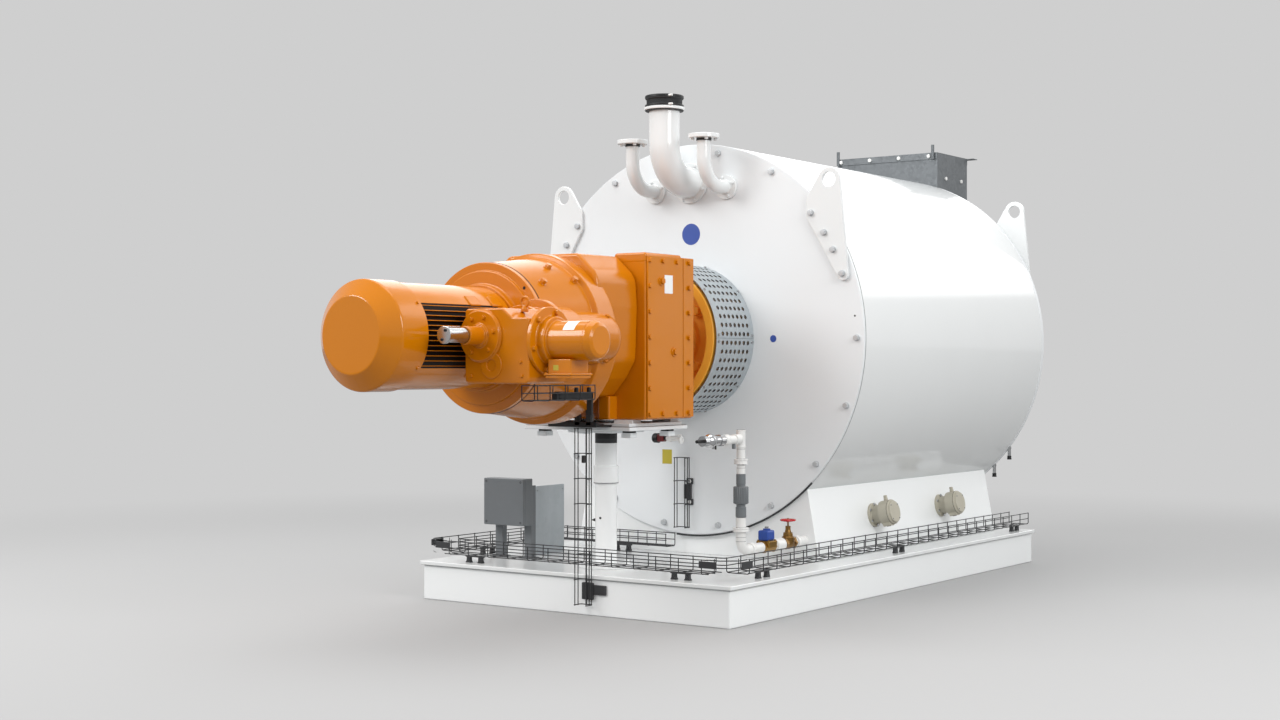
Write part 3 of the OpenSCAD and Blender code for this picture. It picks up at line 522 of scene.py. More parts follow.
def hull(circles: Sequence[tuple[float, float, float]], count: int = 96) -> np.ndarray:
    """Outline round circles (x, y, r): in each direction the point of the circle that reaches furthest.

    Args:
        circles: middle and radius of each circle.
        count: corners of the outline, at even directions.

    Returns:
        count x 2 corners.
    """
    data = np.asarray(circles, float)
    t = np.linspace(0, 2 * np.pi, count, endpoint=False)
    way = np.stack([np.cos(t), np.sin(t)], -1)
    best = np.argmax(way @ data[:, :2].T + data[:, 2], axis=1)
    return data[best, :2] + data[best, 2:3] * way


def holed_plate(outline: np.ndarray, hole: np.ndarray, low: float, high: float, axis: Axis,
                edge: float = 1.5) -> Surface:
    """A plate with one hole: the outline's rings out and the hole's rings back, with eased edges on both.

    Args:
        outline: N x 2 corners.
        hole: N x 2 corners, paired with the outline's by direction.
        low: start along the axis.
        high: end along the axis.
        axis: direction of the plate's thickness.
        edge: radius of the outer edges.

    Returns:
        A closed surface.
    """
    chamfer = min(0.6 * edge, 0.8)
    outer = inset(outline, [1.4 * edge, edge, 0.3 * edge, 0, 0, 0.3 * edge, edge, 1.4 * edge])
    inner = inset(hole, [-chamfer, 0, 0, -chamfer])
    bite = 0.3 * edge
    up = [low, low, low + bite, low + edge, high - edge, high - bite, high, high]
    into = [high, high - chamfer, low + chamfer, low]
    rings = np.concatenate([outer, inner])
    return skin(placed(rings, np.array(up + into)[:, None], axis), looped=True)


def hex_bolt(across: float, head: float, washer: float = 0.0) -> Surface:
    """A hexagon bolt head that stands along +Z from 0, with a chamfered crown and a washer if wanted.

    Args:
        across: width across the flats.
        head: height of the head.
        washer: outer radius of the washer; 0 leaves it out.

    Returns:
        A surface of a few dozen faces.
    """
    t = np.radians(np.arange(0, 360, 60) + 30)
    corners = np.stack([np.cos(t), np.sin(t)], -1) * across / np.sqrt(3)
    base = 0.0
    parts = []
    if washer:
        base = 0.16 * head + 0.6
        disc = circle(1.0, 16)
        scale = np.array([washer, washer, washer - 0.5])[:, None, None]
        parts.append(skin(placed(disc[None] * scale, np.array([-0.4, base - 0.5, base])[:, None], Axis.Z)))
    top = base + head
    scale = np.array([1.0, 1.0, 0.9, 0.62])[:, None, None]
    levels = np.array([base - 0.2, top - 0.14 * head, top - 0.02 * head, top])
    parts.append(skin(placed(corners[None] * scale, levels[:, None], Axis.Z)))
    return Surface.join(parts)


def socket_screw(radius: float, head: float) -> Surface:
    """A round cap screw head along +Z from 0 with a six-sided socket in its top.

    Args:
        radius: of the head.
        head: height of the head.

    Returns:
        A surface of a few dozen faces.
    """
    t = np.radians(np.arange(0, 360, 30))
    flat = np.stack([np.cos(t), np.sin(t)], -1)
    wall = np.cos(np.radians(30)) / np.cos(np.radians(np.mod(np.degrees(t), 60) - 30))
    scales = np.stack([np.full(12, s) for s in (1.0, 1.0, 0.88)] + [0.55 * wall, 0.55 * wall])
    levels = np.array([-0.3, 0.85 * head, head, head, 0.45 * head])
    return skin(placed(radius * scales[:, :, None] * flat[None], levels[:, None], Axis.Z))


def facing(direction: Sequence[float], count: int = 1) -> np.ndarray:
    """Matrices that turn +Z to a direction, the same for each copy.

    Args:
        direction: where +Z ends up.
        count: number of copies.

    Returns:
        count x 3 x 3 rotation matrices.
    """
    way = np.asarray(direction, float) / np.linalg.norm(direction)
    helper = np.array([0.0, 0.0, 1.0]) if abs(way[2]) < 0.9 else np.array([0.0, 1.0, 0.0])
    side = unit(np.cross(helper, way))
    return np.broadcast_to(np.stack([side, np.cross(way, side), way], -1), (count, 3, 3))


def ring_places(axis: Axis, at: Sequence[float], radius: float, degrees: Sequence[float],
                along: float) -> np.ndarray:
    """Places on a bolt circle: at + r (cos a, sin a) in the axis's plane, at one place along the axis.

    Args:
        axis: the circle's axis.
        at: a point of the axis.
        radius: of the circle.
        degrees: the angles.
        along: place along the axis.

    Returns:
        K x 3 places.
    """
    angle = np.radians(np.asarray(degrees, float))
    spot = np.asarray(at, float)
    flat = np.stack([np.cos(angle), np.sin(angle)], -1) * radius + spot[[axis.value[0], axis.value[1]]]
    return placed(flat, np.full(len(angle), float(along)), axis)


def bolts_on(head: Surface, places: np.ndarray, direction: Sequence[float]) -> Surface:
    """Copies of a bolt head that all face one direction."""
    places = np.atleast_2d(places)
    return head.scattered(places, facing(direction, len(places)))


def bolt_circle(head: Surface, axis: Axis, at: Sequence[float], radius: float, degrees: Sequence[float],
                along: float, face: int = 1) -> Surface:
    """Bolt heads on a circle about an axis, all facing along it or, with face -1, against it."""
    return bolts_on(head, ring_places(axis, at, radius, degrees, along),
                    face * np.eye(3)[axis.value[2]] + 0.0)


def bolts_out(head: Surface, axis: Axis, at: Sequence[float], radius: float, degrees: Sequence[float],
              along: float) -> Surface:
    """Bolt heads on a circle about an axis, each facing away from the axis.

    Args:
        head: the head, standing along +Z.
        axis: the circle's axis.
        at: a point of the axis.
        radius: of the circle.
        degrees: the angles.
        along: place along the axis.

    Returns:
        All heads as one surface.
    """
    places = ring_places(axis, at, radius, degrees, along)
    ways = ring_places(axis, (0, 0, 0), 1.0, degrees, 0.0)
    return Surface.join([bolts_on(head, place, way) for place, way in zip(places, ways)])


def line_to(points: Sequence, radius: float, steps: int = 8, spacing: float = 60.0) -> np.ndarray:
    """An open path with round bends, with a point at least every spacing along its straights.

    Args:
        points: corners of the path.
        radius: of the bends.
        steps: pieces in each bend.
        spacing: the longest stretch between two points.

    Returns:
        M x 3 points.
    """
    path = rounded(points, radius, steps, closed=False, share=0.98, lead=0.0)
    gaps = np.linalg.norm(np.diff(path, axis=0), axis=1)
    cuts = np.maximum(np.ceil(gaps / spacing).astype(int), 1)
    start = np.repeat(np.arange(len(gaps)), cuts)
    share = (np.arange(len(start)) - np.repeat(np.cumsum(cuts) - cuts, cuts)) / cuts[start]
    filled = path[start] + share[:, None] * (path[start + 1] - path[start])
    return np.concatenate([filled, path[-1:]])


# ---- Finishes ----


def linear(code: str) -> tuple[float, float, float, float]:
    """A colour for a shader socket from an sRGB hex code such as E8E8E6.

    Args:
        code: six hex digits.

    Returns:
        Linear red, green and blue, and an alpha of 1.
    """
    value = np.array([int(code[i : i + 2], 16) for i in (0, 2, 4)]) / 255
    low, high = value / 12.92, ((value + 0.055) / 1.055) ** 2.4
    return (*np.where(value <= 0.04045, low, high).tolist(), 1.0)


def add(tree: bpy.types.NodeTree, kind: str, settings: Optional[dict] = None,
        **links: bpy.types.NodeSocket) -> bpy.types.Node:
    """Adds a node with its settings and links.

    Args:
        tree: the node tree.
        kind: type name of the node.
        settings: socket names, socket numbers or node properties, with their values.
        links: input socket name, with _ for a space, to the output socket that feeds it.

    Returns:
        The new node.
    """
    node = tree.nodes.new(kind)
    for key, value in (settings or {}).items():
        if isinstance(key, int) or key in node.inputs:
            node.inputs[key].default_value = value
        else:
            setattr(node, key, value)
    for key, source in links.items():
        name = key.replace("_", " ")
        numbered = name.startswith("at") and name[2:].isdigit()
        socket = node.inputs[int(name[2:]) if numbered else name]
        tree.links.new(source, socket)
    return node


@dataclass(frozen=True)
class Finish:
    """What every finish shares: a colour and how it takes light.

    Attributes:
        name: the real material and how it was made.
        colour: sRGB hex.
        roughness: of the surface between its bumps.
        metallic: 1 for bare metal.
        ior: of the clear or plastic layer; a metal keeps the default.
        coat: weight of a clear coat.
    """

    name: str
    colour: str
    roughness: float
    metallic: float = 0.0
    ior: float = 1.5
    coat: float = 0.0

    def material(self) -> bpy.types.Material:
        """The Blender material, built once.

        Returns:
            The material with this finish's name.
        """
        made = bpy.data.materials.get(self.name)
        if made:
            return made
        made = bpy.data.materials.new(self.name)
        made.use_nodes = True
        tree = made.node_tree
        tree.nodes.clear()
        shader = add(tree, "ShaderNodeBsdfPrincipled", {
            "Base Color": linear(self.colour),
            "Roughness": self.roughness,
            "Metallic": self.metallic,
            "IOR": self.ior,
            "Coat Weight": self.coat,
            "Coat Roughness": 0.06,
        })
        add(tree, "ShaderNodeOutputMaterial", Surface=shader.outputs[0])
        place = add(tree, "ShaderNodeTexCoord").outputs["Object"]
        self.dress(tree, shader, place)
        made.diffuse_color = linear(self.colour)
        return made

    def dress(self, tree: bpy.types.NodeTree, shader: bpy.types.Node, place: bpy.types.NodeSocket) -> None:
        """Adds the finish's own texture; a plain finish has none.

        Args:
            tree: the material's node tree.
            shader: its Principled node.
            place: Object coordinates, in metres.
        """

    def tint(self, tree: bpy.types.NodeTree, shader: bpy.types.Node, factor: bpy.types.NodeSocket,
             dark: str, light: str) -> None:
        """Feeds the base colour from a 0-1 factor between two hex colours.

        Args:
            tree: the material's node tree.
            shader: its Principled node.
            factor: 0 gives the dark colour, 1 the light one.
            dark: hex.
            light: hex.
        """
        mix = add(tree, "ShaderNodeMix", {"data_type": "RGBA"})
        mix.inputs[6].default_value, mix.inputs[7].default_value = linear(dark), linear(light)
        tree.links.new(factor, mix.inputs[0])
        tree.links.new(mix.outputs[2], shader.inputs["Base Color"])

    def wear(self, tree: bpy.types.NodeTree, shader: bpy.types.Node, factor: bpy.types.NodeSocket,
             spread: float) -> None:
        """Lets the roughness run a little either side of its value with a 0-1 factor.

        Args:
            tree: the material's node tree.
            shader: its Principled node.
            factor: what the roughness follows.
            spread: how far it runs to either side.
        """
        ramp = add(tree, "ShaderNodeMapRange", {
            "To Min": max(self.roughness - spread, 0.02), "To Max": self.roughness + spread,
        }, Value=factor)
        tree.links.new(ramp.outputs[0], shader.inputs["Roughness"])


@dataclass(frozen=True)
class SprayedEnamel(Finish):
    """Two-pack enamel sprayed on steel: a glossy skin whose fine orange peel softens every reflection.

    Attributes:
        shade: hex of the thinner film that shows where the colour drifts.
        peel_mm: size of the orange peel's cells; the real 1-2 mm is drawn coarser, so that it shows.
        peel: strength of the peel.
        wave: strength of the sheet's own slow waviness.
    """

    shade: str = "000000"
    peel_mm: float = 4.0
    peel: float = 0.05
    wave: float = 0.04

    def dress(self, tree: bpy.types.NodeTree, shader: bpy.types.Node, place: bpy.types.NodeSocket) -> None:
        """Peel and waviness as bump, film thickness as colour, settled dust as roughness.

        Args:
            tree: the material's node tree.
            shader: its Principled node.
            place: Object coordinates, in metres.
        """
        peel = add(tree, "ShaderNodeTexNoise", {"Scale": 1000 / self.peel_mm, "Detail": 2.0,
                                                "Roughness": 0.4}, Vector=place)
        slow = add(tree, "ShaderNodeTexNoise", {"Scale": 7.0, "Detail": 1.0}, Vector=place)
        film = add(tree, "ShaderNodeTexNoise", {"Scale": 2.6, "Detail": 5.0, "Roughness": 0.6}, Vector=place)
        self.tint(tree, shader, film.outputs[0], self.shade, self.colour)
        self.wear(tree, shader, film.outputs[0], 0.02)
        broad = add(tree, "ShaderNodeBump", {"Strength": self.wave, "Distance": 0.03},
                    Height=slow.outputs[0])
        fine = add(tree, "ShaderNodeBump", {"Strength": self.peel, "Distance": 0.002},
                   Height=peel.outputs[0], Normal=broad.outputs[0])
        tree.links.new(fine.outputs[0], shader.inputs["Normal"])
        tree.links.new(fine.outputs[0], shader.inputs["Coat Normal"])


@dataclass(frozen=True)
class DippedZinc(Finish):
    """Hot-dip galvanised sheet: flat zinc crystals that each catch the light a little differently.

    Attributes:
        shade: hex of the darker crystals.
        spangle_mm: width of a crystal.
        streak: how strongly the zinc ran down as it set.
    """

    shade: str = "808A90"
    spangle_mm: float = 14.0
    streak: float = 0.5

    def dress(self, tree: bpy.types.NodeTree, shader: bpy.types.Node, place: bpy.types.NodeSocket) -> None:
        """A random tone per crystal, long soft runs down the sheet, and crystal edges as bump.

        Args:
            tree: the material's node tree.
            shader: its Principled node.
            place: Object coordinates, in metres.
        """
        warp = add(tree, "ShaderNodeTexNoise", {"Scale": 60.0, "Detail": 3.0}, Vector=place)
        bent = add(tree, "ShaderNodeMix", {"data_type": "VECTOR"})
        bent.inputs[0].default_value = 0.006
        tree.links.new(place, bent.inputs[4])
        tree.links.new(warp.outputs["Color"], bent.inputs[5])
        cells = add(tree, "ShaderNodeTexVoronoi", {"Scale": 1000 / self.spangle_mm}, Vector=bent.outputs[1])
        tone = add(tree, "ShaderNodeSeparateColor", Color=cells.outputs["Color"])
        runs = add(tree, "ShaderNodeMapping", {"Scale": (9.0, 9.0, 1.1)}, Vector=place)
        streaks = add(tree, "ShaderNodeTexNoise", {"Scale": 1.6, "Detail": 6.0, "Roughness": 0.65},
                      Vector=runs.outputs[0])
        both = add(tree, "ShaderNodeMix")
        both.inputs[0].default_value = self.streak
        tree.links.new(tone.outputs[0], both.inputs[2])
        tree.links.new(streaks.outputs[0], both.inputs[3])
        spread = add(tree, "ShaderNodeMapRange", {"From Min": 0.2, "From Max": 0.8}, Value=both.outputs[0])
        self.tint(tree, shader, spread.outputs[0], self.shade, self.colour)
        self.wear(tree, shader, tone.outputs[1], 0.08)
        bump = add(tree, "ShaderNodeBump", {"Strength": 0.12, "Distance": 0.0006}, Height=tone.outputs[0])
        tree.links.new(bump.outputs[0], shader.inputs["Normal"])


@dataclass(frozen=True)
class TurnedMetal(Finish):
    """Metal cut on a lathe or drawn: fine lines round the part stretch its highlights across them.

    Attributes:
        line_mm: spacing of the tool lines, drawn coarser than the real 0.2 mm so that they show.
        along: the axis that the lines are spaced on.
        cut: strength of the lines.
        stain: hex of the faint oxide.
    """

    line_mm: float = 1.2
    along: Axis = Axis.Y
    cut: float = 0.15
    stain: str = "8A8C8E"

    def dress(self, tree: bpy.types.NodeTree, shader: bpy.types.Node, place: bpy.types.NodeSocket) -> None:
        """Fine noise stretched to lines as bump and roughness, and a broad faint stain.

        Args:
            tree: the material's node tree.
            shader: its Principled node.
            place: Object coordinates, in metres.
        """
        scale = [2.0, 2.0, 2.0]
        scale[self.along.value[2]] = 1000 / self.line_mm
        lines = add(tree, "ShaderNodeMapping", {"Scale": scale}, Vector=place)
        cut = add(tree, "ShaderNodeTexNoise", {"Scale": 1.0, "Detail": 2.0}, Vector=lines.outputs[0])
        stain = add(tree, "ShaderNodeTexNoise", {"Scale": 22.0, "Detail": 5.0}, Vector=place)
        self.tint(tree, shader, stain.outputs[0], self.stain, self.colour)
        self.wear(tree, shader, stain.outputs[0], 0.06)
        bump = add(tree, "ShaderNodeBump", {"Strength": self.cut, "Distance": 0.0004}, Height=cut.outputs[0])
        tree.links.new(bump.outputs[0], shader.inputs["Normal"])


@dataclass(frozen=True)
class Grained(Finish):
    """A moulded, cast, powder-coated or dipped surface: an even fine grain that breaks up the highlight.

    Attributes:
        grain_mm: size of the grain.
        grain: strength of the grain.
        shade: hex of the darker tone that the colour drifts to.
    """

    grain_mm: float = 2.0
    grain: float = 0.15
    shade: str = "000000"

    def dress(self, tree: bpy.types.NodeTree, shader: bpy.types.Node, place: bpy.types.NodeSocket) -> None:
        """Grain as bump, a slow drift of colour and roughness.

        Args:
            tree: the material's node tree.
            shader: its Principled node.
            place: Object coordinates, in metres.
        """
        grain = add(tree, "ShaderNodeTexNoise", {"Scale": 1000 / self.grain_mm, "Detail": 3.0}, Vector=place)
        drift = add(tree, "ShaderNodeTexNoise", {"Scale": 14.0, "Detail": 5.0, "Roughness": 0.6},
                    Vector=place)
        self.tint(tree, shader, drift.outputs[0], self.shade, self.colour)
        self.wear(tree, shader, drift.outputs[0], 0.06)
        bump = add(tree, "ShaderNodeBump", {"Strength": self.grain, "Distance": 0.0008},
                   Height=grain.outputs[0])
        tree.links.new(bump.outputs[0], shader.inputs["Normal"])


# Gloss white two-pack enamel: bright and clean, with soft-edged reflections of what stands near
WHITE_GLOSS = SprayedEnamel("sprayed_gloss_white_enamel", "E8EAEA", 0.12, shade="E4E6E6",
                            peel=0.02, wave=0.006)
# The same white on the plinth, the cradle and the column, drawn lighter: painted light that brightens these
# faces
WHITE_PAINTED_LIGHT = SprayedEnamel("white_enamel_painted_light", "F8FAFA", 0.16, shade="F4F6F6",
                             peel=0.02, wave=0.006)
# Satin white enamel on the flat plates: reflections fade out, so the plate reads as an even light grey
WHITE_SATIN = SprayedEnamel("sprayed_satin_white_enamel", "E8EBED", 0.42, shade="E3E6E7",
                            peel=0.06, wave=0.01)
# Machinery orange, sprayed thick: saturated, glossy, pale highlights along every rounded edge
ORANGE = SprayedEnamel("sprayed_machine_orange_enamel", "CE7A02", 0.14, shade="C97601",
                       peel=0.03, wave=0.012)
# The same orange on castings, where the sand's skin shows through the paint
ORANGE_CAST = SprayedEnamel("sprayed_orange_on_casting", "CA7602", 0.2, shade="C57201", peel_mm=6.0,
                            peel=0.08, wave=0.03)
# The same orange deep in the adaptor's dish, drawn lighter: painted light on the dish's inside, which the
# lamps leave dark
ORANGE_DISH_PAINTED_LIGHT = SprayedEnamel("orange_dish_painted_light", "FFBC48", 0.35, shade="F8B23C",
                            peel_mm=6.0, peel=0.08)
# Galvanised sheet of the chute and its rim angles, drawn darker than the guard's: dull zinc, and painted
# shade for the chute's poorly lit faces
ZINC = DippedZinc("hot_dip_galvanised_sheet", "777B7E", 0.5, metallic=0.45, shade="65696C", streak=0.75)
ZINC_PANEL = DippedZinc("galvanised_panel_sheet", "B4BABD", 0.5, metallic=0.5, shade="A6ACB0",
                        spangle_mm=22.0, streak=0.9)
# Zinc-plated fasteners, drawn greyer than the enamel they sit on: the zinc, and painted shade that darkens
# the heads
BOLT_ZINC_PAINTED_SHADE = Grained("zinc_plated_bolt", "C6C9CB", 0.35, metallic=0.25, grain_mm=1.5, grain=0.1,
                    shade="B9BCBE")
ZINC_GUARD = DippedZinc("galvanised_perforated_sheet", "BDC4C8", 0.45, metallic=0.5,
                        shade="ABB3B7", streak=0.8)
STEEL = TurnedMetal("turned_bright_steel", "C9CACB", 0.2, metallic=1.0, stain="B4B6B8")
CHROME = TurnedMetal("chromed_brass_fitting", "D9DADB", 0.12, metallic=1.0, cut=0.03, stain="CFD0D2")
BRASS = Grained("hot_pressed_brass", "B58E4C", 0.34, metallic=1.0, grain_mm=1.2, grain=0.25, shade="8E6E3C")
BRONZE = Grained("cast_bronze_valve_body", "A58048", 0.38, metallic=1.0, grain_mm=1.8, grain=0.4,
                 shade="775A34")
GREY_POWDER = Grained("grey_powder_coated_steel", "6F7376", 0.5, grain_mm=1.4, grain=0.3, shade="64686B")
BEIGE = Grained("beige_powder_coated_aluminium", "BDB8A8", 0.48, grain_mm=1.6, grain=0.3, shade="AEA999")
BLACK_WIRE = Grained("black_dipped_steel_wire", "2A2B2D", 0.4, grain_mm=2.5, grain=0.2, shade="212224")
BLACK_PLASTIC = Grained("moulded_black_polyamide", "1B1C1E", 0.45, grain_mm=1.0, grain=0.2, shade="141517")
# Moulded feet and clips of the cable baskets: a dark grey, one step lighter than the wires
GREY_LEG = Grained("moulded_dark_grey_polyamide", "3C3D3F", 0.48, grain_mm=1.0, grain=0.2, shade="323335")
RUBBER = Grained("dark_moulded_rubber", "3A3C3E", 0.62, grain_mm=1.5, grain=0.35, shade="2E3032")
WHITE_PLASTIC = Grained("extruded_white_pvc", "ECECEA", 0.3, grain_mm=3.0, grain=0.05, shade="E2E2E0")
GREY_PLASTIC = Grained("moulded_grey_pvc", "74797C", 0.38, grain_mm=1.5, grain=0.1, shade="6A6F72")
BLUE_PLASTIC = Grained("moulded_blue_polyamide", "2C4FA8", 0.36, grain_mm=1.2, grain=0.12, shade="24448F")
RED_ENAMEL = Grained("dipped_red_enamel", "C41E22", 0.24, coat=0.3, grain_mm=3.0, grain=0.06, shade="AE171B")
DARK_RED = Grained("moulded_dark_red_plastic", "6E1A1C", 0.4, grain_mm=1.2, grain=0.15, shade="5C1416")
LABEL_WHITE = Grained("blank_white_film_label", "F4F4F4", 0.35, grain_mm=4.0, grain=0.03, shade="EFEFEF")
LABEL_YELLOW = Grained("blank_yellow_film_label", "BFAF3C", 0.36, grain_mm=4.0, grain=0.03, shade="B7A736")
LABEL_BLUE = Grained("blank_blue_film_disc", "3A55A8", 0.32, grain_mm=4.0, grain=0.03, shade="34509F")
# The unlit inside of holes and gaps
SHADOW_BLACK = Grained("unlit_hollow", "0C0C0D", 0.8, grain_mm=3.0, grain=0.05, shade="080809")


# ---- Making pieces ----


def coat(index: int, *parts: Surface) -> Surface:
    """Several surfaces as one, every face in one of the piece's finishes."""
    return Surface.join(parts).painted(index)


def piece(name: str, parts: Sequence[Surface], finishes: Sequence[Finish], slot: str,
          stands_for: Sequence[str] = (), body: str = "machine") -> None:
    """Makes a Blender object from surfaces, dresses it, and ties it to the frame.

    Args:
        name: plain name of the real piece.
        parts: its surfaces in millimetres.
        finishes: its finishes, in the order that the surface's paint numbers them.
        slot: the record's material slot.
        stands_for: CAD nodes that the piece replaces.
        body: the CAD body that it rides on.
    """
    shape = Surface.join(parts)
    mesh = bpy.data.meshes.new(name)
    mesh.vertices.add(len(shape.points))
    mesh.vertices.foreach_set("co", (shape.points * MM).astype(np.float32).ravel())
    mesh.loops.add(len(shape.loops))
    mesh.loops.foreach_set("vertex_index", shape.loops.astype(np.int32))
    mesh.polygons.add(len(shape.sizes))
    mesh.polygons.foreach_set("loop_start", (np.cumsum(shape.sizes) - shape.sizes).astype(np.int32))
    mesh.polygons.foreach_set("material_index", shape.paint.astype(np.int32))
    mesh.polygons.foreach_set("use_smooth", np.ones(len(shape.sizes), bool))
    for finish in finishes:
        mesh.materials.append(finish.material())
    mesh.update(calc_edges=True)
    mesh.validate()
    mesh.set_sharp_from_angle(angle=SMOOTH_ANGLE)
    thing = bpy.data.objects.new(name, mesh)
    bpy.context.scene.collection.objects.link(thing)
    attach(thing, body)
    if stands_for:
        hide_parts(*stands_for)
    LOG.info("%s: %d faces, body %s, slot %s", name, len(shape.sizes), body, slot)


# ---- Plinth, drum and what stands on them ----


@dataclass
class Plinth:
    """The white plinth and the deck plate that laps over its top.

    Attributes:
        edge: radius of the painted edges.
        seam: depth of the grey strip between plinth and deck, painted shade of the gap under the deck's lip.
    """

    edge: float = 4.0
    seam: float = 3.0

    def build(self) -> None:
        """Makes the plinth, its deck and the grey strip between them that paints the gap's shade."""
        low, high = span("plinth")
        top = high - np.array([0, 0, self.seam])
        piece("plinth_box", [block(low, top, self.edge)], [WHITE_PAINTED_LIGHT], "white_paint", ["plinth"])
        # grey strip under the deck's lip: painted shade of the gap there
        joint = block(np.append(low[:2] + 3, high[2] - self.seam - 1), np.append(high[:2] - 3, high[2]), 0.6)
        piece("plinth_gap_painted_shade", [joint], [GREY_PLASTIC], "grey_plastic")
        low, high = span("deck_plate")
        piece("deck_sheet", [block(low, high, 3.0)], [WHITE_GLOSS], "white_paint", ["deck_plate"])


@dataclass
class Drum:
    """The drum's shell, end plates, cradle, bearing cover, lugs and rim bolts.

    Attributes:
        segments: pieces round the drum.
        rim_bolts: number of bolts round an end plate.
        rim_inset: distance of the bolt circle inside the drum's radius.
        rim_head: width across flats and height of a rim bolt.
        wall: thickness of the rolled wall.
        lug_plate: thickness of a lug.
        lug_bolts: angles of a lug's bolts, in degrees above the drum's middle.
        lug_ring: radius that the lugs' bolts lie on.
        left_out: angles of the rim bolts that give way to the lugs.
        discs: X, Z, radius and corners of the blank discs on the front plate.
        label: lower left and upper right X, Z of the blank plate.
        low: lowest corner of the drum's shell.
        high: highest corner of the drum's shell.
    """

    segments: int = 288
    rim_bolts: int = 18
    rim_inset: float = 34.0
    rim_head: tuple[float, float] = (22.0, 12.0)
    wall: float = 30.0
    lug_plate: float = 16.0
    lug_bolts: tuple[float, ...] = (19.3, 27.1, 33.1, 40.6)
    lug_ring: float = 790.0
    left_out: tuple[int, ...] = (20, 40, 140, 160)
    discs: tuple = ((0, 1531, 46, 48), (411, 1078, 15, 32))
    label: tuple = ((-150, 540), (-100, 602))
    low: np.ndarray = box_corner("drum_shell", 0)
    high: np.ndarray = box_corner("drum_shell", 1)

    @property
    def radius(self) -> float:
        """Outer radius of the drum."""
        return (self.high[0] - self.low[0]) / 2

    @property
    def axis(self) -> np.ndarray:
        """A point of the drum's axis."""
        return np.array([0.0, 0.0, (self.low[2] + self.high[2]) / 2])

    def build(self) -> None:
        """Makes every piece of the drum."""
        self.shell()
        self.end_plates()
        self.cradle()
        self.lugs()
        self.rim_screws()

    def shell(self) -> None:
        """The rolled wall: a ring section turned about the drum's axis."""
        wall = ring_of(self.low[1] + 1.5, self.high[1] - 1.0, self.radius - self.wall, self.radius, Axis.Y,
                       self.axis, 2.5, self.segments)
        piece("drum_wall", [wall], [WHITE_GLOSS], "white_paint", ["drum_shell"])

    def end_plates(self) -> None:
        """Two flat plates with eased rims, and the stepped bearing cover at the rear."""
        low, high = span("front_end_plate")
        front = drum_of(low[1], high[1] - 0.5, self.radius, Axis.Y, self.axis, 3.0, self.segments)
        piece("front_plate", [front], [WHITE_SATIN], "white_paint", ["front_end_plate"])
        low, high = span("rear_end_plate")
        rear = drum_of(low[1] + 0.5, high[1], self.radius, Axis.Y, self.axis, 3.0, self.segments)
        piece("rear_plate", [rear], [WHITE_SATIN], "white_paint", ["rear_end_plate"])
        low, high = span("rear_bearing_cover")
        step = low[1] + 25
        profile = [(low[1], 20), (low[1], 190), (step, 190), (step, 130), (high[1], 130), (high[1], 20)]
        cover = turned_part(profile, [0, 2, 4, 8, 8, 0], Axis.Y, self.axis)
        heads = bolt_circle(hex_bolt(19, 10, 13), Axis.Y, self.axis, 160, range(0, 360, 45), step)
        piece("rear_bearing_cap", [cover, heads], [WHITE_SATIN], "white_paint", ["rear_bearing_cover"])

    def cradle(self) -> None:
        """The trough under the drum: straight flanks below, the drum's own arc above."""
        low, high = span("drum_cradle")
        foot = high[0]
        reach = self.radius + 0.5
        top_x = np.sqrt(reach**2 - (high[2] - self.axis[2]) ** 2)
        arc = np.arctan2(high[2] - self.axis[2], top_x)
        t = np.linspace(arc, -np.pi - arc, 80)
        hollow = np.stack([reach * np.cos(t), self.axis[2] + reach * np.sin(t)], -1)
        corners = rounded([(-foot, low[2]), (foot, low[2]), (hollow[0, 0] + 7, high[2])], [3, 3, 5],
                          closed=False)
        outline = np.concatenate([corners[:-1], [[hollow[0, 0] + 5, high[2]]], hollow,
                                  [[-hollow[0, 0] - 5, high[2]]]])
        piece("cradle_trough", [prism(outline, low[1], high[1], Axis.Y, 2.0)], [WHITE_PAINTED_LIGHT], "white_paint",
              ["drum_cradle"])

    def lug_outline(self) -> tuple[np.ndarray, np.ndarray]:
        """Outline and shackle hole of one lug, hull round four circles, for the side where X is positive.

        Returns:
            Two lists of X, Z corners, paired by direction.
        """
        def polar(r: float, degrees: float) -> np.ndarray:
            """A point at a radius and an angle about the drum's axis."""
            turn = np.radians(degrees)
            return self.axis[[0, 2]] + r * np.array([np.cos(turn), np.sin(turn)])

        eye = polar(self.radius + 103, 43.5)
        seat = self.radius - 48
        circles = [
            (*eye, 50), (*(polar(seat, 46) + [58, 0]), 28), (*polar(seat, 40), 28), (*polar(seat, 19), 24),
        ]
        return hull(circles, 120), circle(31, 120, *eye)

    def lugs(self) -> None:
        """Four lifting lugs with rounded edges and their bolts."""
        outline, hole = self.lug_outline()
        low, high = span("lifting_lugs")
        parts = []
        for y0, y1, face in ((low[1], low[1] + self.lug_plate, -1), (high[1] - self.lug_plate, high[1], 1)):
            plate = holed_plate(outline, hole, y0, y1, Axis.Y, 2.2)
            outer = y0 if face < 0 else y1
            spots = ring_places(Axis.Y, self.axis, self.lug_ring, self.lug_bolts, outer)
            heads = bolts_on(hex_bolt(*self.rim_head, 14), spots, (0, face, 0))
            one = Surface.join([plate, heads.painted(1)])
            parts += [one, one.mirrored()]
        piece("lifting_lug_plates", parts, [WHITE_GLOSS, BOLT_ZINC_PAINTED_SHADE], "white_paint", ["lifting_lugs"])

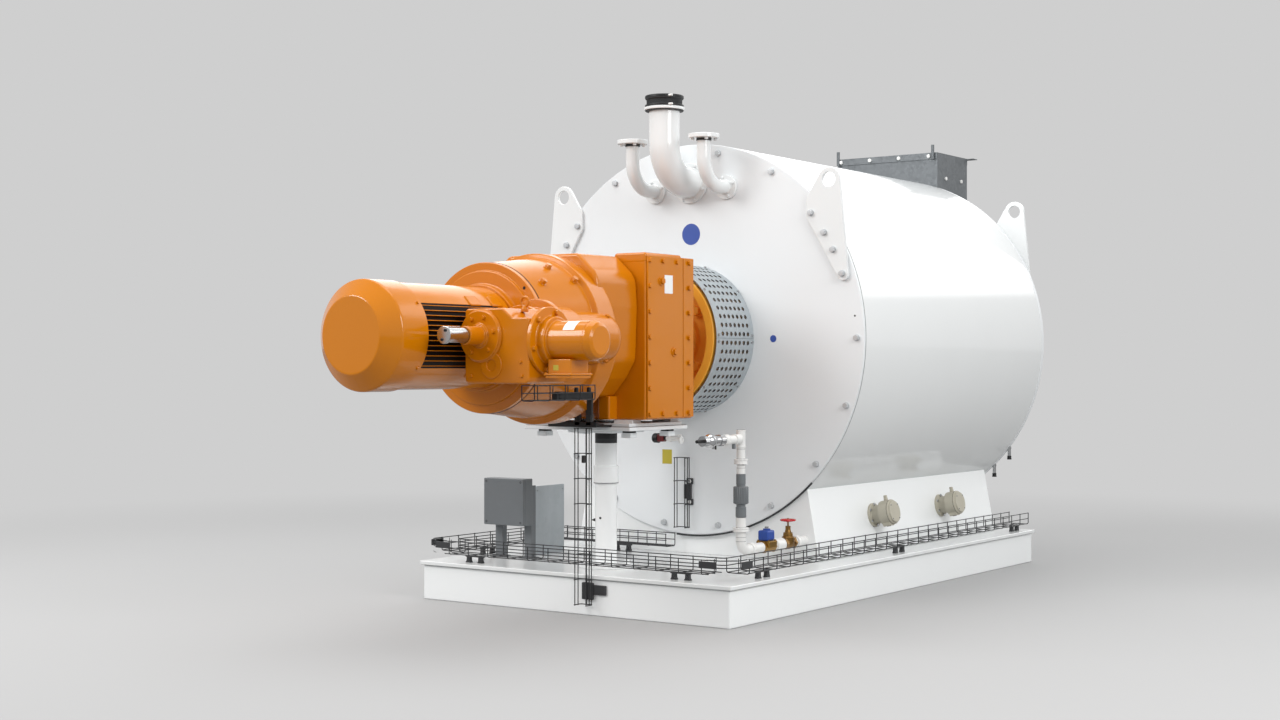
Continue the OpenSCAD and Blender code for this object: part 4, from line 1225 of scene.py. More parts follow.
    def rim_screws(self) -> None:
        """Bolts round both end plates, a plugged hole, and the blank discs and plate in front."""
        head = hex_bolt(*self.rim_head, 14)
        angles = np.arange(self.rim_bolts) * 360 / self.rim_bolts
        free = angles[~np.isin(angles, self.left_out)]
        front, rear = span("front_end_plate")[0][1], span("rear_end_plate")[1][1]
        ring = self.radius - self.rim_inset
        screws = [
            bolt_circle(head, Axis.Y, self.axis, ring, free, front, -1),
            bolt_circle(head, Axis.Y, self.axis, ring, free, rear),
        ]
        piece("rim_bolts", screws, [BOLT_ZINC_PAINTED_SHADE], "white_paint")
        plug = lathe([(front - 0.6, 1.0), (front - 0.6, 4.0), (front + 1, 4.0), (front + 1, 1.0)], Axis.Y,
                     ring_places(Axis.Y, self.axis, 800, [6.4], front)[0], 16)
        piece("front_plate_plug", [plug], [BLACK_PLASTIC], "dark_rubber")
        discs = [drum_of(front - 0.8, front + 0.5, r, Axis.Y, (x, 0, z), 0.3, n)
                 for x, z, r, n in self.discs]
        piece("blank_discs", discs, [LABEL_BLUE], "grey_plastic")
        (x0, z0), (x1, z1) = self.label
        plate = block((x0, front - 0.8, z0), (x1, front + 0.3, z1), 0.3, Axis.Y)
        piece("blank_plate", [plate], [LABEL_YELLOW], "white_plastic")
        self.rim_painted_shade(front)

    def rim_painted_shade(self, front: float) -> None:
        """A black arc between cradle and front plate on the lower right, and a thin dark ring where plate
        meets shell: painted shade of the gaps at the plate's rim.

        Args:
            front: place of the front plate's face along the drum.
        """
        # the lip is painted shadow: a black arc only where the gap under the rim lies in shade
        t = np.radians(np.linspace(-95, -45, 72))
        section = [(self.radius + 0.5, front - 3), (self.radius + 7.5, front - 3),
                   (self.radius + 7.5, front + 2.2), (self.radius + 0.5, front + 2.2)]
        rings = np.stack([self.axis + np.stack([r * np.cos(t), np.full(len(t), y), r * np.sin(t)], -1)
                          for r, y in section])
        lip = skin(np.swapaxes(rings, 0, 1))
        # the joint is painted shade: a thin dark ring at the plate's edge
        joint = ring_of(self.low[1] - 1.2, self.low[1] + 1.4, self.radius - 4, self.radius - 0.1, Axis.Y,
                        self.axis, 0.3, self.segments)
        piece("front_rim_painted_shade", [lip, joint], [RUBBER], "dark_rubber")


@dataclass
class TopPipes:
    """The extraction pipe with its flexible collar, and the two liquid pipes.

    Attributes:
        stand_off: distance of the upright liquid pipes from the front plate.
        high_z: height where the extraction pipe leaves the plate.
        low_z: height where the liquid pipes leave it.
        front: place of the front plate's face along the drum.
    """

    stand_off: float = 178.0
    high_z: float = 1750.0
    low_z: float = 1723.0
    front: float = field(default_factory=lambda: span("front_end_plate")[0][1])

    def bend_pipe(self, x: float, z: float, radius: float, off: float, top: float, bend: float, foot: tuple,
                  bolts: int) -> list[Surface]:
        """A pipe that leaves the plate and turns up, with its plate flange, weld bead and bolts.

        Args:
            x: sideways place.
            z: height where it leaves the plate.
            radius: outer radius.
            off: stand-off of the upright part.
            top: height of its upper end.
            bend: radius of the bend's middle line.
            foot: radius and thickness of the plate flange.
            bolts: number of bolts in the flange.

        Returns:
            The surfaces of one pipe.
        """
        path = line_to([(x, self.front, z), (x, self.front - off, z), (x, self.front - off, top)],
                       bend, 20, 40)
        wide, thick = foot
        y = self.front - thick
        at = (x, 0, z)
        seat = (wide + radius) / 2 + 1.5
        return [
            pipe(path, radius, radius - 4, (1, 0, 0), 64),
            ring_of(y, self.front, radius - 3, wide, Axis.Y, at, 2.0),
            ring_of(y - 4, y + 1, radius - 2, radius + 3.5, Axis.Y, at, 2.0),
            bolt_circle(hex_bolt(10, 7, 7), Axis.Y, at, seat, np.arange(bolts) * 360 / bolts + 22, y, -1),
        ]

    def build(self) -> None:
        """Makes the three pipes and the collar."""
        low, high = span("extraction_pipe")
        middle = low[1] + 85
        top = high[2]
        spot = (0, middle, 0)
        pipes = self.bend_pipe(0, self.high_z, 64.5, self.front - middle, top - 10, 150, (86, 16), 8)
        flange = ring_of(top - 12, top, 60.5, 85, Axis.Z, spot, 2.5, 96)
        neck = ring_of(top - 16.5, top - 11, 61, 81, Axis.Z, spot, 2.0, 96).painted(1)
        piece("extraction_bend", [*pipes, flange, neck], [WHITE_GLOSS, RUBBER], "white_paint",
              ["extraction_pipe"])
        low, high = span("extraction_collar")
        z0, z1 = low[2], high[2]
        profile = [(z0, 66), (z0, 80), (z0 + 8, 80), (z0 + 12, 74), (z0 + 30, 73), (z0 + 34, 80),
                   (z1, 82), (z1, 66)]
        sleeve = lathe(rounded(profile, [1, 2, 3, 5, 5, 3, 3, 1]), Axis.Z, spot, 96, looped=True)
        pleats = [ring_of(z0 + h - 1, z0 + h + 1, 70, 75.5, Axis.Z, spot, 0.9, 96) for h in (15, 19, 23, 27)]
        bands = [ring_of(z0 + h, z0 + h + 9, 76, 82, Axis.Z, spot, 1.0, 96) for h in (0.5, 38)]
        screws = [drum_of(60, 78, 4.5, Axis.X, (0, middle - 55, z0 + h), 1.0, 20) for h in (5, 42)]
        made = [sleeve, *pleats, coat(1, *bands), coat(2, *screws)]
        piece("extraction_sleeve", made, [RUBBER, BLACK_PLASTIC, WHITE_PLASTIC], "dark_rubber",
              ["extraction_collar"])
        high = span("liquid_pipes")[1]
        top, middle, x = high[2], high[1] - self.stand_off, high[0] - 65
        parts = []
        for side in (-1, 1):
            spot = (side * x, middle, 0)
            parts += self.bend_pipe(side * x, self.low_z, 29, self.stand_off, top - 8, 110, (52, 14), 4)
            parts.append(ring_of(top - 18, top, 25, 65, Axis.Z, spot, 2.5, 64))
            parts.append(ring_of(top - 28, top - 17, 26, 31.5, Axis.Z, spot, 1.0, 64).painted(1))
            studs = ring_places(Axis.Z, spot, 49, (45, 135, 225, 315), top - 18)
            parts.append(bolts_on(hex_bolt(13, 7, 8), studs, (0, 0, -1)))
            parts.append(bolts_on(hex_bolt(13, 6, 8), studs + [0, 0, 18], (0, 0, 1)).moved(0, 0, -7.0))
        piece("liquid_bends", parts, [WHITE_GLOSS, RUBBER], "white_paint", ["liquid_pipes"])


# ---- Coupling and drive ----


@dataclass
class Coupling:
    """The perforated guard, the dished adaptor in its mouth and the output shaft.

    Attributes:
        rows: rows of holes round the guard.
        columns: holes along it.
        pitch: spacing of the holes along the guard.
        hole: radius of a hole.
        wall: thickness of the sheet.
        dish: depth of the adaptor's dish.
        screws: angles of the screws round each end.
        axis: a point of the drum's axis.
        low: lowest corner of the coupling guard.
        high: highest corner of the coupling guard.
    """

    rows: int = 54
    columns: int = 7
    pitch: float = 32.4
    hole: float = 9.2
    wall: float = 3.0
    dish: float = 163.0
    screws: tuple = (-2.4, 2.4, 39, 75, 105, 141, 177.6, 182.4, 219, 255, 285, 321)
    low: np.ndarray = box_corner("coupling_guard", 0)
    high: np.ndarray = box_corner("coupling_guard", 1)
    axis: np.ndarray = field(default_factory=lambda: sum(span("drum_shell")) / 2)

    @property
    def radius(self) -> float:
        """Outer radius of the guard."""
        return (self.high[0] - self.low[0]) / 2

    def on_guard(self, turn: np.ndarray, along: np.ndarray, radius: float) -> np.ndarray:
        """Points (axis + R cos a, y, axis + R sin a) for angles a and places y.

        Args:
            turn: angles in radians.
            along: places along the drum, of the same shape or spread to it.
            radius: R.

        Returns:
            ... x 3 points.
        """
        shape = np.broadcast_shapes(turn.shape, along.shape)
        flat = np.stack([self.axis[0] + radius * np.cos(turn), self.axis[2] + radius * np.sin(turn)], -1)
        return placed(np.broadcast_to(flat, shape + (2,)), np.broadcast_to(along, shape), Axis.Y)

    def guard(self) -> Surface:
        """The sheet as tiles with one round hole each, and two plain bands.

        A tile's rim point in direction t is (cos t, sin t) / max(|cos t|, |sin t|), its hole point is
        (cos t, sin t) times the hole's radius; both are wrapped on the outer and the inner radius.

        Returns:
            The sheet, its holes' walls painted black as shade, the fourth finish.
        """
        t = np.radians(np.arange(0, 360, 22.5))
        way = np.stack([np.cos(t), np.sin(t)], -1)
        rim = way / np.abs(way).max(axis=1, keepdims=True)
        step = 2 * np.pi / self.rows
        middle = (self.low[1] + self.high[1]) / 2
        outer, inner = self.radius, self.radius - self.wall
        turn, along = np.meshgrid((np.arange(self.rows) + 0.5) * step,
                                  middle + (np.arange(self.columns) - (self.columns - 1) / 2) * self.pitch)
        turn, along = turn.ravel()[:, None], along.ravel()[:, None]
        edge = (turn + rim[:, 0] * step / 2, along + rim[:, 1] * self.pitch / 2)
        bore = (turn + way[:, 0] * self.hole / outer, along + way[:, 1] * self.hole)
        rings = np.stack([self.on_guard(*edge, outer), self.on_guard(*bore, outer),
                          self.on_guard(*bore, inner), self.on_guard(*edge, inner)], 1)
        parts = [skin(ring, caps=False).looking(ring[0, 0] * [1, 0, 1] - self.axis * [1, 0, 1])
                 for ring in rings]
        # the holes' walls take the black finish: painted shade that darkens the holes
        for tile in parts:
            tile.paint[len(t) :] = 3
        stops = np.concatenate([[-1.0], np.tan(np.radians(22.5)) * np.array([-1.0, 0.0, 1.0])])
        around = ((np.arange(self.rows)[:, None] + 0.5) * step + stops * step / 2).ravel()
        half = self.columns * self.pitch / 2
        for sign, end in ((-1, self.low[1]), (1, self.high[1])):
            start = middle + sign * half
            ease = -sign * 0.7
            levels = [(start, outer), (end + ease, outer), (end, outer - 0.7), (end, inner + 0.7),
                      (end + ease, inner), (start, inner)]
            band = np.stack([self.on_guard(around, np.full(len(around), y), r) for y, r in levels])
            parts.append(skin(band, caps=False).looking(band[0, 0] * [1, 0, 1] - self.axis * [1, 0, 1]))
        return Surface.join(parts).merged()

    def build(self) -> None:
        """Makes the guard with its screws, the adaptor with its bolts, and the shaft."""
        screws = [bolts_out(hex_bolt(10, 5, 7), Axis.Y, self.axis, self.radius, self.screws, y)
                  for y in (self.low[1] + 13, self.high[1] - 15)]
        seam = block((-self.radius - 0.4, self.low[1] + 1, -0.6),
                     (-self.radius + 0.5, self.high[1] - 1, 0.6), 0.2)
        seam = seam.moved(self.axis[0], 0, self.axis[2])
        made = [self.guard(), coat(1, *screws), coat(2, seam, seam.mirrored())]
        piece("guard_perforated", made, [ZINC_GUARD, STEEL, BLACK_PLASTIC, SHADOW_BLACK], "galvanised_sheet",
              ["coupling_guard"])
        self.adaptor()
        self.shaft()

    def adaptor(self) -> None:
        """A dished ring on a stepped hub, with four large hexagon bolts."""
        y, y1, r = round_span("output_adaptor")
        dish = y + self.dish
        profile = [
            (dish - 20, 40), (dish - 20, 120), (dish, 126), (dish, 200), (y, 262), (y, r), (y + 30, r),
            (y + 33, r - 24), (dish + 30, 215), (dish + 30, 150), (y1 - 0.5, 150), (y1 - 0.5, 40),
        ]
        body = turned_part(profile, [0, 5, 5, 14, 5, 4, 3, 8, 12, 10, 1, 0], Axis.Y, self.axis, 128, 5)
        heads = bolt_circle(hex_bolt(37, 24, 30), Axis.Y, self.axis, 165, (45, 135, 225, 315), dish, -1)
        piece("adaptor_dish", [body, heads], [ORANGE_DISH_PAINTED_LIGHT], "orange_paint", ["output_adaptor"])

    def shaft(self) -> None:
        """The stepped shaft between gearbox and adaptor, with a bolted keep ring."""
        low, high = span("output_shaft")
        y0, y1 = low[1] - 2, high[1]
        profile = [(y0, 40), (y0, 110), (y0 + 42, 110), (y0 + 42, 88), (y0 + 60, 86), (y0 + 60, 75),
                   (y1, 75), (y1, 40)]
        body = turned_part(profile, [0, 2, 5, 4, 3, 3, 2, 0], Axis.Y, self.axis)
        heads = bolt_circle(hex_bolt(16, 10, 11), Axis.Y, self.axis, 98, range(30, 360, 60), y0 + 42)
        piece("shaft_and_keep_ring", [body, heads], [ORANGE], "orange_paint", ["output_shaft"])


@dataclass
class Gearbox:
    """The gearbox block with its covers, its feet and the round barrel towards the motor.

    Attributes:
        cast_edge: radius of the castings' edges.
        cover_rows: bolts along a cover's height.
        flange_drop: how far the middle of the flange towards the coupling lies under the block's top.
        drive_z: height of the motor's axis.
        ring_bolts: angle and place along the axis of the bolts on the barrel.
        low: lowest corner of the gearbox block.
        high: highest corner of the gearbox block.
    """

    cast_edge: float = 7.0
    cover_rows: int = 7
    flange_drop: float = 325.0
    low: np.ndarray = box_corner("gearbox_block", 0)
    high: np.ndarray = box_corner("gearbox_block", 1)
    drive_z: float = field(default_factory=lambda: sum(span("motor_fan_cowl"))[2] / 2)
    ring_bolts: tuple = ((45, -1800), (62, -1690), (45, -1630), (135, -1800), (135, -1630), (225, -1630),
                         (-45, -1630))

    def build(self) -> None:
        """Makes the block, covers, feet and barrel."""
        self.block()
        self.covers()
        self.barrel()
        self.feet()

    def block(self) -> None:
        """The cast block: a main box, a lower front step, two top ribs and two legs under the neck."""
        (x0, y_foot, z0), (x1, y1, z1) = self.low, self.high
        y0, step = y_foot + 80, y1 - 82
        e = self.cast_edge
        parts = [
            block((x0 + 0.8, y0 + 0.8, z0), (x1 - 0.8, step + 3, z1 - 14), e, Axis.Y),
            block((x0 + 1, step - 20, z0), (x1 - 1, y1, z1 - 22), e, Axis.Y),
            block((x0, y0, z1 - 40), (-151, step, z1), e, Axis.Y),
            block((151, y0, z1 - 40), (x1, step, z1), e, Axis.Y),
        ]
        parts += [block((side * 135 - 28, y_foot + 30, z0), (side * 135 + 28, y0 + 20, z0 + 92), 5.0)
                  for side in (-1, 1)]
        at = (0, 0, z1 - self.flange_drop)
        parts.append(ring_of(y1 - 4, y1 + 10, 60, 150, Axis.Y, at, 4.0, 96))
        parts.append(bolt_circle(hex_bolt(19, 11, 13), Axis.Y, at, 130, range(0, 360, 45), y1 + 10))
        piece("gearbox_casting", parts, [ORANGE_CAST], "orange_paint", ["gearbox_block"])

    def covers(self) -> None:
        """A bolted cover on each side: a wide plate, a narrow strip, edge bolts, two plugs and a label."""
        low, high = span("gearbox_side_covers")
        x, thick = high[0] - 8.0, 8.0
        y0, y1, z0, z1 = low[1], high[1], low[2] - 8, high[2] + 11
        split = y1 - 75
        rows = np.linspace(z0 + 17, z1 - 19, self.cover_rows)
        columns = np.array([y0 + 10, y0 + 100, y0 + 196, y1 - 36])
        grid = [(y, z) for y in columns for z in rows if y in columns[[0, -1]] or z in rows[[0, -1]]]
        spots = np.array([(x + thick, y, z) for y, z in grid])
        one = [
            block((x, y0, z0), (x + thick, split - 3, z1), 2.0, Axis.X),
            block((x, split + 3, z0), (x + thick - 1.5, y1, z1), 2.0, Axis.X),
            bolts_on(hex_bolt(17, 9, 0), spots, (1, 0, 0)),
        ]
        plugs = [(y0 + 90, z1 - 98), (y0 + 178, z1 - 373)]
        for y, z in plugs:
            one.append(drum_of(x + thick - 1, x + thick + 4, 19, Axis.X, (0, y, z), 1.5, 32))
            one.append(bolts_on(hex_bolt(22, 9, 0), np.array([[x + thick + 4, y, z]]), (1, 0, 0)))
        side = Surface.join(one)
        label = block((x + thick - 0.3, y0 + 112, z1 - 145),
                      (x + thick + 0.7, y0 + 168, z1 - 73), 0.3, Axis.X)
        made = [side, side.mirrored(), label.painted(1)]
        piece("side_cover_plates", made, [ORANGE, LABEL_WHITE], "orange_paint", ["gearbox_side_covers"])

    def barrel(self) -> None:
        """The round housing turned about the motor's axis, its bolts, and the throat, a rounded prism."""
        low, high = span("gearbox_barrel")
        y0, y1 = low[1], high[1]
        collar, neck = y0 + 262, y0 + 366
        r = (high[0] - low[0]) / 2
        profile = [(y0, 120), (y0, 278), (collar - 9, 305), (collar, r), (neck, r), (neck + 36, r - 42),
                   (neck + 46, 238), (neck + 46, 120)]
        soft = [0, 4, 8, 6, 26, 26, 6, 0]
        at = (0, 0, self.drive_z)
        body = turned_part(profile, soft, Axis.Y, at, 144, 8)
        half = [(168, high[2] - 0.5), (258, high[2] - 82), (266, high[2] - 200), (258, 985),
                (214, 915), (150, 843)]
        outline = rounded(half + [(-x, z) for x, z in half[::-1]],
                          [34, 90, 90, 60, 60, 40, 40, 60, 60, 90, 90, 34], 6)
        throat = prism(outline, collar + 60, y1, Axis.Y, 12.0, 5)
        # a black ring behind the bell's rim: painted shade of the gap between bell and barrel
        gap = ring_of(y0 - 3.5, y0 + 0.5, 268, 279.0, Axis.Y, at, 0.5, 144)
        parts = [body, throat, gap.painted(1)]
        for turn, along in self.ring_bolts:
            reach = np.interp(along, [y0, y0 + 250], [278, 305]) - 2
            parts.append(bolts_out(hex_bolt(24, 15, 17), Axis.Y, at, reach, [turn], along))
        piece("barrel_casting", parts, [ORANGE_CAST, SHADOW_BLACK], "orange_paint", ["gearbox_barrel"])

    def feet(self) -> None:
        """Four foot pads under the block's corners."""
        low, high = span("gearbox_feet")
        parts = [block((x - 45, y - 30, low[2]), (x + 45, y + 30, high[2]), 1.5)
                 for x in (-190, 190) for y in (low[1] + 30, high[1] - 30)]
        piece("foot_pads", parts, [WHITE_SATIN], "white_paint", ["gearbox_feet"])


@dataclass
class Motor:
    """The main motor: bell flange, finned body and fan cowl.

    Attributes:
        fins: fins on each side.
        bank: half height of a fin bank.
        core: radius that the fins stand on.
        fin: half thickness of a fin.
        drive_z: height of the motor's axis.
    """

    fins: int = 13
    bank: float = 112.0
    core: float = 150.0
    fin: float = 1.3
    drive_z: float = field(default_factory=lambda: sum(span("motor_fan_cowl"))[2] / 2)

    def build(self) -> None:
        """Makes the bell, the body and the cowl."""
        at = (0, 0, self.drive_z)
        y0, y1, r = round_span("motor_bell")
        profile = [(y0, 90), (y0, 195), (y0 + 26, 195), (y0 + 28, 247), (y0 + 40, 247), (y0 + 40, r),
                   (y1, r), (y1, 90)]
        bell = turned_part(profile, [0, 3, 6, 4, 3, 3, 3, 0], Axis.Y, at, 128, 4)
        # a black disc for the hole: painted shade of its inside
        hole = drum_of(y0 + 39.4, y0 + 41, 6, Axis.Y, ring_places(Axis.Y, at, 262, [43], 0)[0], 0.3, 24)
        piece("bell_flange", [bell, hole.painted(1)], [ORANGE_CAST, SHADOW_BLACK], "orange_paint",
              ["motor_bell"])
        self.body()
        self.cowl()

    def body(self) -> None:
        """The body: a round core cut flat behind each fin bank, and thin flat fins that reach the round."""
        y0, y1, r = round_span("motor_body")
        arc = np.arcsin(self.bank / r)
        top = np.linspace(arc, np.pi - arc, 40)
        ring = np.concatenate([top, top + np.pi])
        outline = np.stack([r * np.cos(ring), self.drive_z + r * np.sin(ring)], -1)
        flat = np.array([[-self.core, self.drive_z + self.bank], [-self.core, self.drive_z - self.bank],
                         [self.core, self.drive_z - self.bank], [self.core, self.drive_z + self.bank]])
        outline = np.concatenate([outline[:40], flat[:2], outline[40:], flat[2:]])
        parts = [prism(outline, y0 + 5, y1 - 58, Axis.Y, 1.0)]
        at = (0, 0, self.drive_z)
        parts.append(drum_of(y1 - 60, y1, r, Axis.Y, at, 3.0, 96))
        parts.append(drum_of(y0, y0 + 7, r, Axis.Y, at, 1.0, 96))
        pitch = 2 * self.bank / self.fins
        z = -self.bank + pitch * (np.arange(self.fins) + 0.5)
        reach = np.sqrt(r**2 - (np.abs(z) + 2.5) ** 2) - 1
        for height, out in zip(z, reach):
            fin = block((self.core - 4, y0 + 4, self.drive_z + height - self.fin),
                        (out, y1 - 57, self.drive_z + height + self.fin), 0.6, Axis.Y)
            parts += [fin, fin.mirrored()]
        for y in (y0 + 290, y0 + 410):
            pad = block((-24, y - 30, self.drive_z + 130), (24, y + 30, self.drive_z + r + 4), 4.0)
            for turn in (47, -47, 133, -133):
                parts.append(pad.turned(turn, Axis.Y, at))
        piece("finned_body", parts, [ORANGE], "orange_paint", ["motor_body"])
        # a black sheet behind the fins: painted shade in the gaps between them
        floor = block((self.core - 0.5, y0 + 7, self.drive_z - self.bank + 1),
                      (self.core + 0.8, y1 - 60, self.drive_z + self.bank - 1), 0.4, Axis.X)
        piece("fin_gaps_painted_shade", [floor, floor.mirrored()], [SHADOW_BLACK], "dark_rubber")

    def cowl(self) -> None:
        """The fan cowl: a drum with a wide cone to a flat nose, drawn from one sheet, and its screws."""
        y0, y1, r = round_span("motor_fan_cowl")
        profile = [(y0, 20), (y0, r - 59), (y0 + 50, r), (y1, r), (y1, r - 8), (y0 + 60, r - 8),
                   (y0 + 60, 20)]
        at = (0, 0, self.drive_z)
        shell = turned_part(profile, [0, 10, 13, 2, 1, 4, 0], Axis.Y, at, 144, 6)
        screws = bolts_out(hex_bolt(10, 5, 7), Axis.Y, at, r - 0.6, (35, 145, 215, 325), y1 - 18)
        piece("cowl_sheet", [shell, screws], [ORANGE], "orange_paint", ["motor_fan_cowl"])


@dataclass
class AuxiliaryDrive:
    """The small geared motor beside the main motor, with its bare shaft end.

    Attributes:
        cut: height of the box's lowered corner.
        motor_r: radius of the small motor.
        shaft_low: lowest corner of the shaft.
        shaft_high: highest corner of the shaft.
        low: lowest corner of the auxiliary gearbox.
        high: highest corner of the auxiliary gearbox.
    """

    cut: float = 34.0
    motor_r: float = 68.0
    low: np.ndarray = box_corner("aux_gearbox", 0)
    high: np.ndarray = box_corner("aux_gearbox", 1)
    shaft_low: np.ndarray = box_corner("aux_shaft", 0)
    shaft_high: np.ndarray = box_corner("aux_shaft", 1)

    @property
    def axis(self) -> np.ndarray:
        """A point of the shaft's axis."""
        return (self.shaft_low + self.shaft_high) / 2

    def build(self) -> None:
        """Makes the box, shaft, motor, terminal box and housing tube."""
        self.box()
        self.shaft()
        self.motor()
        self.terminals()
        self.tube()

    def box(self) -> None:
        """The cast box with a lowered corner, its round cover, sleeve, bolts and lifting eye."""
        x0, x1, z0 = self.axis[0] - 74, self.high[0], self.low[2]
        y0, y1 = self.high[1] - 208, self.high[1]
        top = z0 + 257
        c = self.cut
        outline = rounded([(x0, z0), (x1, z0), (x1, top - c), (x1 - 2 * c, top - c), (x1 - 3.4 * c, top),
                           (x0, top)], [16, 16, 9, 12, 12, 14], 4)
        parts = [prism(outline, y0, y1, Axis.Y, 5.0)]
        cover = [(y0 + 3, 35), (y0 + 3, 92), (y0 - 5, 92), (y0 - 8, 88), (y0 - 14, 86), (y0 - 14, 42),
                 (y0 - 22, 40), (y0 - 22, 33), (y0 - 92, 32), (y0 - 92, 26.3), (y0 - 20, 26.3)]
        parts.append(lathe(rounded(cover, [0, 1, 2, 3, 4, 4, 3, 3, 3, 1, 0], 4, closed=False), Axis.Y,
                           self.axis, 80, looped=True))
        parts.append(bolt_circle(hex_bolt(13, 8, 0), Axis.Y, self.axis, 65, (12, 72, 120, 155, 240, 312),
                                 y0 - 14, -1))
        lower = [(x0 + 30, z0 + 26), (x1 - 30, z0 + 26), (x1 - 34, z0 + 74)]
        parts.append(bolts_on(hex_bolt(11, 5, 0), np.array([(x, y0, z) for x, z in lower]), (0, -1, 0)))
        parts.append(ring_of(y0 - 4, y0 + 2, 20, 46, Axis.Y, (x0 + 120, 0, z0 + 62), 2.0, 48))
        x, y, z = x1 - 2.6 * c, y0 + 90, top - 12
        parts.append(turned_part([(z, 2), (z, 13), (z + 10, 13), (z + 19, 8), (z + 19, 2)], 2, Axis.Z,
                                 (x, y, 0), 32))
        t = np.linspace(0, 2 * np.pi, 41)[:-1]
        eye = np.stack([x + 17 * np.cos(t), np.full(40, float(y)), z + 34 + 17 * np.sin(t)], -1)
        parts.append(swept(eye, circle(5, 14), (0, 1, 0), looped=True))
        piece("auxiliary_box", parts, [ORANGE_CAST], "orange_paint", ["aux_gearbox"])

    def shaft(self) -> None:
        """The bright shaft end, its key and the disc on its tip; it rides on its own body."""
        y0, y1 = self.shaft_low[1], self.shaft_high[1]
        r = (self.shaft_high[0] - self.shaft_low[0]) / 2 - 4
        profile = [(y0, 4), (y0, r + 4), (y0 + 8, r + 4), (y0 + 8, r), (y1, r), (y1, 4)]
        body = turned_part(profile, [0, 1.5, 1.5, 1, 2, 0], Axis.Y, self.axis)
        x, z = self.axis[0], self.axis[2]
        key = block((x - 7, y0 + 22, z), (x + 7, y0 + 78, z + r + 3.5), 1.2)
        heads = bolt_circle(socket_screw(5, 3.5), Axis.Y, self.axis, 17, (65, 245), y0, -1)
        piece("bare_shaft_end", [body, key, heads.painted(1)], [STEEL, BLACK_PLASTIC], "bright_steel",
              ["aux_shaft"], body="auxiliary_shaft")

    def motor(self) -> None:
        """The small motor along +X: flange, neck, smooth round body with a rolled end, and a blank label."""
        low, high = span("aux_motor")
        y, z = (low[1] + high[1]) / 2, (low[2] + high[2]) / 2
        x0, x1, r = low[0], high[0] - 10, self.motor_r
        profile = [(x0, 30), (x0, 116), (x0 + 16, 116), (x0 + 16, 84), (x0 + 46, 82), (x0 + 46, r),
                   (x1 - 22, r), (x1 - 6, r - 8), (x1, r - 20), (x1, 30)]
        body = turned_part(profile, [0, 3, 3, 6, 5, 5, 12, 8, 6, 0], Axis.X, (0, y, z), 96, 5)
        lip = ring_of(x1 - 34, x1 - 30, r - 2, r + 1.2, Axis.X, (0, y, z), 0.8, 96)
        heads = bolt_circle(hex_bolt(16, 9, 11), Axis.X, (0, y, z), 100, range(15, 375, 60), x0 + 16)
        grid = np.linspace(-23, 23, 9)
        angle = np.radians(130.0) + grid / r
        flat = np.stack([y + (r + 0.7) * np.cos(angle), z + (r + 0.7) * np.sin(angle)], -1)
        back = np.stack([y + (r - 0.6) * np.cos(angle), z + (r - 0.6) * np.sin(angle)], -1)[::-1]
        label = skin(placed(np.concatenate([flat, back])[None],
                            np.array([x0 + 110.0, x0 + 158.0])[:, None], Axis.X))
        piece("auxiliary_motor", [body, lip, heads, label.painted(1)], [ORANGE, LABEL_WHITE],
              "orange_paint", ["aux_motor"])

    def terminals(self) -> None:
        """The terminal box under the small motor, with its rim plate, its lid and a blank label."""
        low, high = span("aux_terminal_box")
        low, high = low - [30, 0, 0], high - [24, 6, 0]
        rim = block((low[0], low[1], low[2] + 9), (high[0], high[1], low[2] + 16), 1.5)
        lid = block((low[0] + 4, low[1] + 4, low[2]), (high[0] - 4, high[1] - 4, low[2] + 8), 2.0)
        gap = block((low[0] + 7, low[1] + 7, low[2] + 7), (high[0] - 7, high[1] - 7, low[2] + 10), 0.4)
        box = block((low[0] + 10, low[1] + 10, low[2] + 15), (high[0] - 10, high[1] - 10, high[2] + 6), 3.0)
        corners = [(x, y, low[2] + 16) for x in (low[0] + 6, high[0] - 6) for y in (low[1] + 6, high[1] - 6)]
        heads = bolts_on(hex_bolt(7, 3, 0), np.array(corners), (0, 0, 1))
        film = block((low[0] + 34, low[1] + 9.4, low[2] + 26),
                     (low[0] + 56, low[1] + 10.5, low[2] + 44), 0.3, Axis.Y)
        made = [rim, lid, box, heads, gap.painted(1), film.painted(2)]
        piece("terminal_box", made, [ORANGE, BLACK_PLASTIC, LABEL_YELLOW], "orange_paint",
              ["aux_terminal_box"])

    def tube(self) -> None:
        """The round housing that carries the small drive, blended into the barrel."""
        low, high = span("aux_drive_tube")
        y0, end = low[1], high[1] - 84
        profile = [(y0, 40), (y0, 112), (y0 + 21, 112), (y0 + 22, 102), (y0 + 78, 102), (y0 + 80, 137),
                   (y0 + 104, 137), (y0 + 108, 122), (y0 + 150, 114), (y0 + 236, 112), (y0 + 250, 99),
                   (end, 97), (end, 10)]
        soft = [0, 3, 5, 5, 5, 4, 4, 8, 12, 10, 10, 56, 0]
        body = lathe(rounded(profile, soft, 6, closed=False, share=0.46), Axis.Y, self.axis, 96)
        heads = ring_places(Axis.Y, self.axis, 124, (-75, -45, -15, 15, 45, 75), y0 + 104)
        side = bolts_out(hex_bolt(17, 9, 0), Axis.Y, self.axis, 95, (56, -60), end - 56)
        piece("auxiliary_housing_tube", [body, bolts_on(hex_bolt(13, 8, 0), heads, (0, 1, 0)), side],
              [ORANGE_CAST], "orange_paint", ["aux_drive_tube"])


# ---- Table, column and boxes ----


